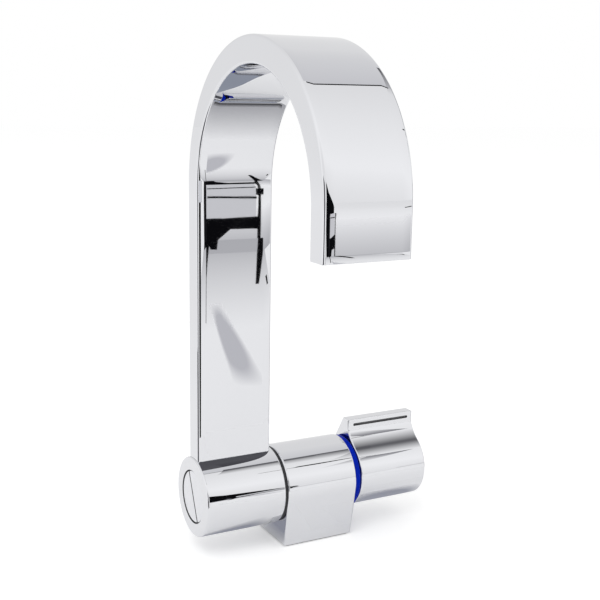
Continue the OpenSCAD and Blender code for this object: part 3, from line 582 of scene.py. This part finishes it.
def centred_group(tree, group, centre, values):
    where = add_node(tree, "TexCoord", (-900, 0))
    move = add_node(tree, "Mapping", (-700, 0))
    move.inputs["Location"].default_value = [-v for v in centre]
    effect = add_node(tree, "Group", (-450, 0), {"node_tree": group}, values)
    join(
        tree,
        (where.outputs["Object"], move.inputs["Vector"]),
        (move.outputs["Vector"], effect.inputs["Vector"]),
    )
    return effect.outputs


def two_tones(tree, mask, first, second, target):
    tones = add_node(tree, "Mix", (-100, 200), {"data_type": "RGBA"})
    tones.inputs["A"].default_value = (*first, 1.0)
    tones.inputs["B"].default_value = (*second, 1.0)
    join(tree, (mask, tones.inputs["Factor"]), (tones.outputs["Result"], target))


def low_bump(tree, height, depth, strength, target):
    values = {"Strength": strength, "Distance": depth}
    bump = add_node(tree, "Bump", (300, -300), values=values)
    join(tree, (height, bump.inputs["Height"]), (bump.outputs["Normal"], target))


def finish_from(group, name, centre, scales, settings, tones, shine, relief):
    """A material that three outputs of a group vary: its tones, its roughness, its relief."""
    material, tree, shader = new_material(name)
    for label, value in settings.items():
        shader.inputs[label].default_value = value
    effect = centred_group(tree, group, centre, scales)
    source, first, second = tones
    two_tones(tree, effect[source], first, second, shader.inputs["Base Color"])
    source, low, high = shine
    roughness = rescale(tree, effect[source], (-100, 0), to_min=low, to_max=high)
    join(tree, (roughness, shader.inputs["Roughness"]))
    source, depth, strength = relief
    low_bump(tree, effect[source], depth, strength, shader.inputs["Normal"])
    return material


print("finish helpers ready")

# %% [markdown]
# The bright finish is chromium over nickel: nearly a mirror, slightly blue, with a little
# haze. Its colour sits near 0.8, so white paper in it reads as a light cool grey.

# %% Finish: bright plating
def bright_plating(name, centre):
    return finish_from(
        plating_group,
        name,
        centre,
        {"Haze scale": 90.0, "Ripple scale": 60.0},
        METAL,
        tones=("Tone", (0.755, 0.76, 0.785), (0.785, 0.79, 0.815)),
        shine=("Haze", 0.012, 0.030),
        relief=("Ripple", 0.00003, 0.25),
    )


print("bright plating ready")

# %% [markdown]
# Plating hardly reaches into a bore. There the casting stays dull and dark. The same dark
# finish is put on the knob's finger groove and on the hub's end at the seam as painted
# shade, and it is what makes the narrow gaps of the tap look black.

# %% Finish: bare casting and painted gap shade
def bare_casting_and_gap_shade(name, centre):
    return finish_from(
        grain_group,
        name,
        centre,
        {"Grain scale": 1500.0, "Patch scale": 200.0},
        METAL,
        tones=("Patches", (0.10, 0.10, 0.105), (0.20, 0.20, 0.21)),
        shine=("Rubbed", 0.55, 0.40),
        relief=("Grain", 0.00005, 0.5),
    )


def finish_piece(piece, name, centre, inside):
    """Plates a piece and gives the faces that pass the test a second, dark finish."""
    piece.data.materials.clear()
    piece.data.materials.append(bright_plating(name + " plating", centre))
    piece.data.materials.append(bare_casting_and_gap_shade(name + " inside", centre))
    bare = 0
    # faces that pass the test get the dark finish: bare casting in bores, painted shade on groove
    # and seam
    for face in piece.data.polygons:
        face.material_index = int(inside(face.center / MM))
        bare += face.material_index
    print(piece.name, "bare faces:", bare)


print("bare casting ready")

# %% [markdown]
# Inside the tap the metal is plain. Turned brass is yellow with rings from the tool, and
# stainless steel is greyer with finer rings. Plated brass is the brightest and has the
# finest rings. The table gives each its dark and light tone, rings per metre and roughness.

# %% Finish: turned metals
RING_SHINE = 0.06
TURNED = {
    "brass": ((0.62, 0.40, 0.14), (0.80, 0.58, 0.24), 9000.0, 0.26),
    "steel": ((0.42, 0.42, 0.43), (0.60, 0.60, 0.61), 14000.0, 0.24),
    "plated_brass": ((0.74, 0.75, 0.78), (0.82, 0.82, 0.85), 16000.0, 0.13),
}


def turned_metal(name, centre, dark, light, rings, rough):
    return finish_from(
        lathe_group,
        name,
        centre,
        {"Rings per metre": rings},
        METAL,
        tones=("Tone", dark, light),
        shine=("Lines", rough - RING_SHINE, rough + RING_SHINE),
        relief=("Lines", 0.00001, 0.3),
    )


print("turned metals:", sorted(TURNED))

# %% [markdown]
# Rubber is black and dull, with a grey bloom. Moulded plastic is smoother and shines more.
# Ceramic discs are lapped flat and nearly polished. All three read the grain group. The
# table gives each its dark and light tone, roughness, grain scale, relief and gloss.

# %% Finish: moulded and pressed
RUBBED_SHARE = 0.7
MOULDED = {
    "rubber": ((0.012, 0.012, 0.013), (0.030, 0.030, 0.032), 0.62, 2500.0, 0.00004, 0.35),
    "black_plastic": ((0.008, 0.008, 0.010), (0.018, 0.018, 0.021), 0.38, 3500.0, 0.00003, 0.5),
    "white_plastic": ((0.66, 0.65, 0.61), (0.76, 0.75, 0.71), 0.40, 3500.0, 0.00003, 0.5),
    "blue_plastic": ((0.0008, 0.012, 0.32), (0.001, 0.020, 0.45), 0.20, 3500.0, 0.00001, 0.03),
    "ceramic": ((0.70, 0.69, 0.66), (0.80, 0.79, 0.76), 0.16, 5000.0, 0.00001, 0.5),
}


def moulded(name, centre, dark, light, rough, grain_scale, depth, gloss):
    return finish_from(
        grain_group,
        name,
        centre,
        {"Grain scale": grain_scale, "Patch scale": PATCH_SCALE},
        {"Specular IOR Level": gloss},
        tones=("Patches", dark, light),
        shine=("Rubbed", rough, rough * RUBBED_SHARE),
        relief=("Grain", depth, 0.4),
    )


print("moulded finishes:", sorted(MOULDED))

# %% [markdown]
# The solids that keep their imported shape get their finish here, each one its own material
# with the pattern centred on that piece.

# %% Finishes of the carried solids
def middle(node):
    low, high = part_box(node)
    return [(a + b) / 2 for a, b in zip(low, high)]


def finish_of_slot(slot, name, centre):
    if slot in TURNED:
        return turned_metal(name, centre, *TURNED[slot])
    if slot in MOULDED:
        return moulded(name, centre, *MOULDED[slot])
    return bright_plating(name, centre)


for node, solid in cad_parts.items():
    slot = solid.data.materials[0].name.split(".")[0]
    name = node.replace("_", " ") + " finish"
    solid.data.materials[0] = finish_of_slot(slot, name, middle(node))
print("carried solids finished:", len(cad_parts))

# %% [markdown]
# Four bright pieces are modelled anew, because their edges and long curves are what the
# eye rests on: the spout's ribbon, its hub, the body and the knob. Each is worked as by
# hand: a start shape, faces or edges picked by their place, and one tool at a time.
# These helpers open a piece for editing, pick parts of it, pull, spin or bevel what is
# picked, and close the piece again.

# %% Modelling helpers
import bmesh

AXIS_Z = 26.5
CLOSE = 0.02
STILL = 1e-6
MERGE_WITHIN = 0.000002


def make_active(piece):
    deselect_all()
    piece.select_set(True)
    bpy.context.view_layer.objects.active = piece


def open_piece(piece):
    make_active(piece)
    bpy.ops.object.mode_set(mode="EDIT")
    bpy.ops.mesh.select_all(action="DESELECT")


def close_piece():
    bpy.ops.object.mode_set(mode="OBJECT")


def pick(piece, kind, test):
    """In edit mode, selects the vertices, edges or faces that pass the test, and counts them."""
    bpy.ops.mesh.select_mode(type=kind)
    bpy.ops.mesh.select_all(action="DESELECT")
    shape = bmesh.from_edit_mesh(piece.data)
    parts = {"VERT": shape.verts, "EDGE": shape.edges, "FACE": shape.faces}[kind]
    shape.normal_update()
    chosen = [part for part in parts if test(part)]
    for part in chosen:
        part.select_set(True)
    shape.select_flush_mode()
    bmesh.update_edit_mesh(piece.data)
    return len(chosen)


def pick_all():
    bpy.ops.mesh.select_all(action="SELECT")


def merge_doubles():
    pick_all()
    bpy.ops.mesh.remove_doubles(threshold=MERGE_WITHIN)


def face_outwards():
    """Turns every normal outwards, which needs a closed shell."""
    pick_all()
    bpy.ops.mesh.normals_make_consistent(inside=False)


def pull(dx, dy, dz):
    move = {"value": (dx * MM, dy * MM, dz * MM)}
    bpy.ops.mesh.extrude_region_move(TRANSFORM_OT_translate=move)


def spin(x, y, z, degrees, steps):
    """Carries what is picked round (y, z), from +Y towards +Z for positive degrees."""
    bpy.ops.mesh.spin(
        steps=steps,
        angle=-math.radians(degrees),
        center=(x * MM, y * MM, z * MM),
        axis=(1, 0, 0),
    )


def bevel(size, segments, affect="EDGES"):
    bpy.ops.mesh.bevel(offset=size * MM, segments=segments, affect=affect)


def near(a, b):
    return abs(a - b * MM) < CLOSE * MM


def both_near(edge, axis, value):
    return all(near(vertex.co[axis], value) for vertex in edge.verts)


def run_along(edge, axis):
    """How far an edge runs along one axis, in metres."""
    return abs(edge.verts[0].co[axis] - edge.verts[1].co[axis])


def apply_places(piece):
    make_active(piece)
    bpy.ops.object.transform_apply(location=True, rotation=True, scale=True)


def apply_modifier(piece, modifier):
    make_active(piece)
    bpy.ops.object.modifier_apply(modifier=modifier.name)


print("modelling helpers ready")

# %% [markdown]
# Much of the tap is turned, so more helpers give stock: a round bar along the swivel axis
# or upright, and a square block, each at its size and place. They serve as a start shape,
# or as the tool of a Boolean modifier that cuts a bore. The last helpers round the ends,
# smooth a finished shape and print its size.

# %% Stock and cutting
ROUND_SIDES = 128
BORE_SIDES = 96
SMALL_SIDES = 64
SLIM_SIDES = 48
PIN_SIDES = 32
CORNER_STEPS = 6
SMOOTH_UP_TO = 32.0


def name_piece(piece, name):
    piece.name = name
    piece.data.name = name
    return piece


def start_plane(name, x, y, z):
    deselect_all()
    bpy.ops.mesh.primitive_plane_add(size=1.0, location=(x * MM, y * MM, z * MM))
    return name_piece(bpy.context.object, name)


def bar(name, centre, length, radius, sides, tilt):
    deselect_all()
    bpy.ops.mesh.primitive_cylinder_add(
        vertices=sides,
        radius=radius * MM,
        depth=length * MM,
        location=[v * MM for v in centre],
        rotation=(0, math.radians(tilt), 0),
    )
    stock = name_piece(bpy.context.object, name)
    apply_places(stock)
    return stock


def round_bar(name, x0, x1, radius, y=0.0, z=AXIS_Z, sides=BORE_SIDES):
    return bar(name, ((x0 + x1) / 2, y, z), x1 - x0, radius, sides, 90)


def upright_bar(name, x, y, z0, z1, radius, sides=SMALL_SIDES):
    return bar(name, (x, y, (z0 + z1) / 2), z1 - z0, radius, sides, 0)


def block(name, low, high, corner=0.0, axis=2):
    """A block between two corners. A corner radius rounds its edges along one axis."""
    deselect_all()
    place = [(a + b) / 2 * MM for a, b in zip(low, high)]
    bpy.ops.mesh.primitive_cube_add(size=1.0, location=place)
    stock = name_piece(bpy.context.object, name)
    stock.scale = [(b - a) * MM for a, b in zip(low, high)]
    apply_places(stock)
    if corner:
        open_piece(stock)
        across = [i for i in range(3) if i != axis]
        pick(stock, "EDGE", lambda e: all(run_along(e, i) < STILL for i in across))
        bevel(corner, CORNER_STEPS)
        close_piece()
    return stock


def boolean(piece, tools, operation="DIFFERENCE"):
    for tool in tools:
        cutter = piece.modifiers.new("cut", "BOOLEAN")
        cutter.operation = operation
        cutter.solver = "EXACT"
        cutter.object = tool
        apply_modifier(piece, cutter)
        bpy.data.objects.remove(tool)


def round_ends(piece, xs, radius, segments=5):
    """Rounds the edges of a piece that lie at the given places along the swivel axis."""
    open_piece(piece)
    pick(piece, "EDGE", lambda e: any(both_near(e, 0, x) for x in xs))
    bevel(radius, segments)
    close_piece()


def polish_shape(piece, rolled=False):
    """Merges doubles and smooths. Large faces decide the shading, unless edges are rolled."""
    open_piece(piece)
    merge_doubles()
    close_piece()
    make_active(piece)
    bpy.ops.object.shade_smooth_by_angle(angle=math.radians(SMOOTH_UP_TO))
    if rolled:
        return
    even = piece.modifiers.new("even shading", "WEIGHTED_NORMAL")
    even.keep_sharp = True
    apply_modifier(piece, even)


def report(piece):
    sides = [round(v / MM, 2) for v in piece.dimensions]
    print(piece.name, "faces:", len(piece.data.polygons), "size in mm:", sides)


print("stock helpers ready")

# %% [markdown]
# The spout is a flat tube, 35.4 mm wide and 9.5 mm thick, bent to a half circle. It could
# be a curve with a bevel profile, but spinning a face gives clean quads and exact places.
# The start is a plane at the foot. Its corners are bevelled, it is pulled up, spun over
# the arch and pulled down to the outlet. The tube's inner wall is made in the same way.
# The sides are cut into strips first. On the strip beside a corner the shading leans a
# little, as on the real ribbon, where the polishing wheel rolled over the edge.

# %% Ribbon: outer and inner wall
RIBBON_MIDDLE = -38.6
RIBBON_WIDTH = 35.4
RIBBON_DEPTH = 9.5
RIBBON_CORNER = 1.0
RIBBON_WALL = 1.5
WAY_CORNER = 0.3
RISER_Y = 0.3
ARCH_Y = -53.95
ARCH_Z = 166.0
ARCH_STEPS = 72
CROWN_EXTRA = 1.2
FOOT_Z = 39.55
OUTLET_Z = 148.0
LIP = 3.0
SIDE_CUTS = 9
CAP_NORMAL = 0.99


def is_cap(face):
    """True for the flat faces that close the two ends of a tube."""
    below_arch = all(v.co.z < (ARCH_Z - 1) * MM for v in face.verts)
    return below_arch and abs(face.normal.z) > CAP_NORMAL


def sweep_tube(name, width, depth, corner):
    """An open flat tube up the riser, over the arch and down the outlet leg."""
    tube = start_plane(name, RIBBON_MIDDLE, RISER_Y, FOOT_Z)
    tube.scale = (width * MM, depth * MM, 1.0)
    apply_places(tube)
    open_piece(tube)
    pick_all()
    bevel(corner, CORNER_STEPS, "VERTICES")
    pick(tube, "EDGE", lambda e: e.calc_length() > 2 * corner * MM)
    bpy.ops.mesh.subdivide(number_cuts=SIDE_CUTS)
    pick(tube, "FACE", lambda f: True)
    for rise in (ARCH_Z - FOOT_Z - LIP, LIP):
        pull(0, 0, rise)
    spin(0, ARCH_Y, ARCH_Z, 180, ARCH_STEPS)
    for drop in (LIP, ARCH_Z - OUTLET_Z - 2 * LIP, LIP):
        pull(0, 0, -drop)
    pick(tube, "FACE", is_cap)
    bpy.ops.mesh.delete(type="FACE")
    return tube


def in_arch(vertex):
    return vertex.co.z > (ARCH_Z - 0.01) * MM


def on_inner_half(vertex):
    out = math.hypot(vertex.co.y - ARCH_Y * MM, vertex.co.z - ARCH_Z * MM)
    return in_arch(vertex) and out < (RISER_Y - ARCH_Y) * MM


def lower_picked(drop):
    bpy.ops.transform.translate(value=(0, 0, -drop * MM))
    close_piece()


ribbon = sweep_tube("arched_ribbon", RIBBON_WIDTH, RIBBON_DEPTH, RIBBON_CORNER)
moved = pick(ribbon, "VERT", on_inner_half)
lower_picked(CROWN_EXTRA)
print("crown thickened at vertices:", moved)

way_width = RIBBON_WIDTH - 2 * RIBBON_WALL
way_depth = RIBBON_DEPTH - 2 * RIBBON_WALL
ribbon_way = sweep_tube("ribbon_way", way_width, way_depth, WAY_CORNER)
pick(ribbon_way, "VERT", in_arch)
lower_picked(CROWN_EXTRA / 2)
report(ribbon)

# %% [markdown]
# The two walls become one tube when their open rims are bridged, at the foot and at the
# outlet. Only then do the normals get their side, because a closed shell knows what is
# outside. The outlet's rim loses its sharp edge, as the real one does in polishing.

# %% Ribbon: rims
RIM_SOFTENING = 0.3
RIM_NORMAL = 0.9
WAY_MARGIN = 1.0

make_active(ribbon)
ribbon_way.select_set(True)
bpy.ops.object.join()
open_piece(ribbon)
for rim_z in (FOOT_Z, OUTLET_Z):
    pick(ribbon, "EDGE", lambda e: e.is_boundary and both_near(e, 2, rim_z))
    bpy.ops.mesh.bridge_edge_loops()
face_outwards()


def on_outlet_rim(edge):
    """True where the level face of the outlet's rim meets an upright one."""
    level = sorted(abs(f.normal.z) > RIM_NORMAL for f in edge.link_faces)
    return both_near(edge, 2, OUTLET_Z) and level == [False, True]


rim_edges = pick(ribbon, "EDGE", on_outlet_rim)
bevel(RIM_SOFTENING, 3)
close_piece()
polish_shape(ribbon, rolled=True)


def in_waterway(p):
    if p.z > ARCH_Z:
        out = math.hypot(p.y - ARCH_Y, p.z - ARCH_Z + CROWN_EXTRA / 2)
        across = abs(out - (RISER_Y - ARCH_Y))
    else:
        across = min(abs(p.y - RISER_Y), abs(p.y - (2 * ARCH_Y - RISER_Y)))
    sideways = abs(p.x - RIBBON_MIDDLE)
    return across < RIBBON_DEPTH / 2 - WAY_MARGIN and sideways < RIBBON_WIDTH / 2 - WAY_MARGIN


finish_piece(ribbon, "ribbon", (0, 0, 0), in_waterway)
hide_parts("spout_tube")
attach(ribbon, "spout")
print("rim edges softened:", rim_edges)
report(ribbon)

# %% [markdown]
# The hub is a turned drum. Its left end is recessed for the axle's slotted head, and a
# socket in its top takes the ribbon's foot. The bores inside hold the bushes and lead the
# water, so they are cut too: the pieces within must fit without touching.

# %% Hub
HUB_LEFT = -57.0
HUB_RIGHT = -19.0
HUB_RADIUS = 18.0
HUB_INSIDE = 14
EDGE_ROUND = 0.8
SOCKET_GAP = 0.05
BUSH_RADIUS = 9.5
AXLE_BORE_RADIUS = 8.05
WATER_LEFT = -43.9
WATER_RIGHT = -27.8
RISING_HALF = 3.25
END_BAND = 0.1

hub = round_bar("swivel_hub", HUB_LEFT, HUB_RIGHT, HUB_RADIUS, sides=ROUND_SIDES)
round_ends(hub, (HUB_LEFT, HUB_RIGHT), EDGE_ROUND)
pin_low, pin_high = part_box("stop_pin")
pin_y = (pin_low[1] + pin_high[1]) / 2 / MM
pin_z = (pin_low[2] + pin_high[2]) / 2 / MM
half_width = RIBBON_WIDTH / 2 + SOCKET_GAP
half_depth = RIBBON_DEPTH / 2 + SOCKET_GAP
boolean(
    hub,
    [
        round_bar("head recess", -58.0, -52.7, 12.1, sides=ROUND_SIDES),
        round_bar("left bush seat", -52.8, -47.3, BUSH_RADIUS),
        round_bar("axle bore", -47.4, -18.0, AXLE_BORE_RADIUS),
        round_bar("right bush seat", -24.4, -18.0, BUSH_RADIUS),
        round_bar("water chamber", WATER_LEFT, WATER_RIGHT, 11.5),
        block(
            "ribbon socket",
            (RIBBON_MIDDLE - half_width, RISER_Y - half_depth, 39.5),
            (RIBBON_MIDDLE + half_width, RISER_Y + half_depth, 50.0),
            corner=1.05,
        ),
        block(
            "rising way",
            (WATER_LEFT, RISER_Y - RISING_HALF, 32.25),
            (WATER_RIGHT, RISER_Y + RISING_HALF, 40.0),
        ),
        round_bar("stop pin hole", -22.0, -18.0, 1.525, pin_y, pin_z, sides=PIN_SIDES),
    ],
)
polish_shape(hub)


def off_axis(p):
    return math.hypot(p.y, p.z - AXIS_Z)


def in_hub(p):
    in_bore = HUB_LEFT + END_BAND < p.x < HUB_RIGHT - END_BAND and off_axis(p) < HUB_INSIDE
    # the right end face lies in the narrow seam and gets the dark finish as painted shade
    return in_bore or abs(p.x - HUB_RIGHT) < CLOSE


finish_piece(hub, "hub", middle("spout_hub"), in_hub)
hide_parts("spout_hub")
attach(hub, "spout")
report(hub)

# %% [markdown]
# The body is one casting: a round top that runs into straight flanks down to the foot.
# Its section is drawn with a single point, as with a pencil: the point is spun over the
# top, then pulled along the flanks and closed below. The section is pulled out to the
# body's width.

# %% Body: section
def first_point(name, x, y, z):
    """A piece of one vertex, left open in edit mode: a plane merged to its middle."""
    piece = start_plane(name, x, y, z)
    apply_places(piece)
    open_piece(piece)
    bpy.ops.mesh.select_mode(type="VERT")
    pick_all()
    bpy.ops.mesh.merge(type="CENTER")
    pick_all()
    return piece


def fill_section(length):
    """Closes the drawn outline with a face and pulls it out along the axis."""
    merge_doubles()
    pick_all()
    bpy.ops.mesh.edge_face_add()
    bpy.ops.mesh.select_mode(type="FACE")
    pick_all()
    pull(length, 0, 0)
    face_outwards()
    close_piece()


BODY_LEFT = -17.8
BODY_RIGHT = 17.8
BODY_RADIUS = 18.0
FLANK_LEAN = 9.87
FOOT_HALF = 13.75
FOOT_BOTTOM = 0.5

lean = math.radians(FLANK_LEAN)
flank_y = BODY_RADIUS * math.cos(lean)
flank_z = AXIS_Z - BODY_RADIUS * math.sin(lean)
body = first_point("body_block", BODY_LEFT, flank_y, flank_z)
spin(BODY_LEFT, 0.0, AXIS_Z, 180 + 2 * FLANK_LEAN, steps=96)
pull(0, flank_y - FOOT_HALF, FOOT_BOTTOM - flank_z)
pull(0, 2 * FOOT_HALF, 0)
pull(0, flank_y - FOOT_HALF, flank_z - FOOT_BOTTOM)
fill_section(BODY_RIGHT - BODY_LEFT)
report(body)

# %% [markdown]
# Now the casting's edges and holes. The ends are rounded by 0.8 mm. Below, a recess holds
# the rubber pad, and behind it are the stud holes, the inlet and the switch's pocket. The
# long bore takes the valve from the right and the axle from the left.

# %% Body: edges and holes
FOOT_ROUND = 0.4
STUD_REACH = 9.5
STUD_RADIUS = 2.5
INLET_X = -5.9
MOUNT_DEPTH = 10.5
SWITCH_X = 12.6
CUT_OVER = 1.0

round_ends(body, (BODY_LEFT, BODY_RIGHT), EDGE_ROUND)
open_piece(body)
pick(body, "EDGE", lambda e: both_near(e, 2, FOOT_BOTTOM) and run_along(e, 1) < STILL)
bevel(FOOT_ROUND, 3)
close_piece()
boolean(
    body,
    [
        block("pad recess", (-16.85, -12.8, -0.5), (16.85, 12.8, 1.5), corner=1.2),
        upright_bar("front stud hole", 0, -STUD_REACH, FOOT_BOTTOM, MOUNT_DEPTH, STUD_RADIUS),
        upright_bar("rear stud hole", 0, STUD_REACH, FOOT_BOTTOM, MOUNT_DEPTH, STUD_RADIUS),
        upright_bar("inlet", INLET_X, 0, FOOT_BOTTOM, MOUNT_DEPTH, 4.5),
        upright_bar("inlet way", INLET_X, 0, 1.0, AXIS_Z, 1.9, sides=PIN_SIDES),
        block("switch pocket", (9.6, -6.5, FOOT_BOTTOM), (15.6, 6.5, 12.0)),
        upright_bar("button hole", SWITCH_X, 0, 11.5, 13.1, 1.8, sides=PIN_SIDES),
        upright_bar("rod hole", SWITCH_X, 0, 12.0, AXIS_Z, 1.25, sides=PIN_SIDES),
        round_bar("axle thread", -19.0, -10.2, AXLE_BORE_RADIUS),
        round_bar("axle chamber", -12.0, -10.2, 11.0),
        round_bar("inlet chamber", -7.9, -3.0, 6.0, sides=SMALL_SIDES),
        round_bar("valve bore", -3.9, 19.0, 11.0),
        round_bar("water groove", -0.7, 2.65, 13.0),
        round_bar("cross way", -11.1, 0.95, 2.5, 0.0, AXIS_Z + 10.5, sides=PIN_SIDES),
    ],
)
print("holes cut, faces now:", len(body.data.polygons))

# %% [markdown]
# The stop pin of the hub runs in a curved slot in the body's left end, a quarter of a
# circle long, which ends the fold. A short line, spun about the swivel axis and pulled
# out, cuts it, and two round bars cut its ends.

# %% Body: stop slot
STOP_RADIUS = 13.0
STOP_HALF = 1.55
STOP_DEPTH = 2.5
BODY_INSIDE = 15.5
FOOT_INSIDE_TOP = 24
FOOT_INSIDE_HALF = 12.9
FOOT_BAND = 0.9

slot_from = BODY_LEFT - CUT_OVER
slot_to = BODY_LEFT + STOP_DEPTH
slot_tool = first_point("stop slot", slot_from, 0, AXIS_Z - STOP_RADIUS + STOP_HALF)
pull(0, 0, -2 * STOP_HALF)
pick_all()
spin(slot_from, 0, AXIS_Z, 90, steps=32)
pick_all()
pull(STOP_DEPTH + CUT_OVER, 0, 0)
face_outwards()
close_piece()
cutters = [slot_tool]
for name, y, z in (("slot start", 0, AXIS_Z - STOP_RADIUS), ("slot end", STOP_RADIUS, AXIS_Z)):
    cutters.append(round_bar(name, slot_from, slot_to, STOP_HALF, y, z, PIN_SIDES))
boolean(body, cutters)
polish_shape(body)


def in_body(p):
    in_bore = off_axis(p) < BODY_INSIDE and abs(p.x) < BODY_RIGHT - END_BAND
    in_foot = (
        FOOT_BOTTOM + END_BAND < p.z < FOOT_INSIDE_TOP
        and abs(p.y) < FOOT_INSIDE_HALF
        and abs(p.x) < BODY_RIGHT - FOOT_BAND
    )
    return in_bore or in_foot


finish_piece(body, "body", middle("body_housing"), in_body)
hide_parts("body_housing")
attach(body, "body")
report(body)

# %% [markdown]
# The knob is a drum with a lever along its top: straight behind, where the back runs
# tangent into the drum, and hollow in front, where a thumb pushes. The same pencil draws
# it: round the drum, up the hollow, up the lever's face, over its rounded top and down
# the straight back.

# %% Knob: section
KNOB_LEFT = 21.5
KNOB_RIGHT = 57.5
KNOB_RADIUS = 16.25
LEVER_TOP = 26.0
LEVER_FRONT = -3.1
LEVER_FOOT = 20.5
HOLLOW_Y, HOLLOW_Z = -20.90, 29.62
HOLLOW_ANGLE = 125.2
TOP_Y, TOP_Z = 1.5, 24.4
BACK_ANGLE = 33.3


def on_drum(degrees):
    """The point of the drum's outline at an angle, from the swivel axis."""
    angle = math.radians(degrees)
    return KNOB_RADIUS * math.cos(angle), KNOB_RADIUS * math.sin(angle)


def hollow_angle(y, z):
    """The angle of a point as seen from the hollow's centre."""
    return math.degrees(math.atan2(z - HOLLOW_Z, y - HOLLOW_Y))


back_y, back_z = on_drum(BACK_ANGLE)
knob = first_point("lever_knob", KNOB_LEFT, back_y, AXIS_Z + back_z)
spin(KNOB_LEFT, 0, AXIS_Z, -(BACK_ANGLE + 360 - HOLLOW_ANGLE), steps=110)
hollow_turn = hollow_angle(LEVER_FRONT, LEVER_FOOT) - hollow_angle(*on_drum(HOLLOW_ANGLE))
spin(KNOB_LEFT, HOLLOW_Y, AXIS_Z + HOLLOW_Z, hollow_turn, steps=16)
pull(0, 0, LEVER_TOP - LEVER_FOOT)
pull(0, TOP_Y - LEVER_FRONT, 0)
spin(KNOB_LEFT, TOP_Y, AXIS_Z + TOP_Z, BACK_ANGLE - 90, steps=10)
fill_section(KNOB_RIGHT - KNOB_LEFT)
report(knob)

# %% [markdown]
# The ends and the lever's two front edges are rounded a little. The finger groove is a
# slim stadium, cut 0.8 mm deep. The inside is hollow, with a boss for the spindle and
# four ribs, so these are joined in, and the seats of the screw and its cap are cut last.

# %% Knob: edges, groove and inside
KNOB_END_ROUND = 0.7
LEVER_EDGE_ROUND = 0.3
GROOVE_LEFT = 24.1
GROOVE_RIGHT = 54.9
GROOVE_HEIGHT = 49.75
GROOVE_HALF = 0.65
GROOVE_CORNER = 0.64
GROOVE_DEPTH = 0.8
GROOVE_BAND = 0.05
KNOB_INSIDE = 14.6
RIB_HALF = 0.8


def on_lever_edge(edge):
    """True for the long edges at the top and the foot of the lever's front."""
    heights = AXIS_Z + LEVER_TOP, AXIS_Z + LEVER_FOOT
    in_front = both_near(edge, 1, LEVER_FRONT)
    at_height = all(any(near(v.co.z, height) for height in heights) for v in edge.verts)
    return in_front and at_height and run_along(edge, 0) > 1 * MM


open_piece(knob)
pick(knob, "EDGE", on_lever_edge)
bevel(LEVER_EDGE_ROUND, 3)
close_piece()
round_ends(knob, (KNOB_LEFT, KNOB_RIGHT), KNOB_END_ROUND, 4)
boolean(
    knob,
    [
        block(
            "finger groove",
            (GROOVE_LEFT, -4.5, GROOVE_HEIGHT - GROOVE_HALF),
            (GROOVE_RIGHT, LEVER_FRONT + GROOVE_DEPTH, GROOVE_HEIGHT + GROOVE_HALF),
            corner=GROOVE_CORNER,
            axis=1,
        ),
        round_bar("knob hollow", KNOB_LEFT - CUT_OVER, 54.5, 14.25),
    ],
)
ribs = []
for turn in range(4):
    rib = block("rib", (25.5, -RIB_HALF, 0.0), (56.0, RIB_HALF, 15.25))
    rib.rotation_euler = (math.radians(45 + 90 * turn), 0, 0)
    rib.location = (0, 0, AXIS_Z * MM)
    apply_places(rib)
    ribs.append(rib)
boolean(knob, [round_bar("spindle boss", 13.8, 54.6, 6.3, sides=SMALL_SIDES)] + ribs, "UNION")
flats = round_bar("spindle seat", 12.8, 39.7, 3.65, sides=SLIM_SIDES)
boolean(flats, [block("seat flats", (12.0, -3.05, 15.0), (41.0, 3.05, 38.0))], "INTERSECT")
boolean(
    knob,
    [
        flats,
        round_bar("screw hole", 39.5, 49.0, 2.2, sides=SLIM_SIDES),
        round_bar("screw head seat", 48.5, 58.5, 3.8, sides=SLIM_SIDES),
        round_bar("cap seat", 55.5, 58.5, 6.05),
    ],
)
polish_shape(knob)


def in_knob(p):
    # the finger groove gets the dark finish as painted shade in the crease; the drum's inside is
    # bare casting
    in_groove = (
        GROOVE_LEFT - END_BAND < p.x < GROOVE_RIGHT + END_BAND
        and GROOVE_BAND < p.y - LEVER_FRONT < GROOVE_DEPTH + GROOVE_BAND
        and abs(p.z - GROOVE_HEIGHT) < GROOVE_HALF + GROOVE_BAND
    )
    in_drum = off_axis(p) < KNOB_INSIDE and KNOB_LEFT + END_BAND < p.x < KNOB_RIGHT - END_BAND
    return in_groove or in_drum


finish_piece(knob, "knob", middle("knob_shell"), in_knob)
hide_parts("knob_shell")
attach(knob, "knob")
report(knob)
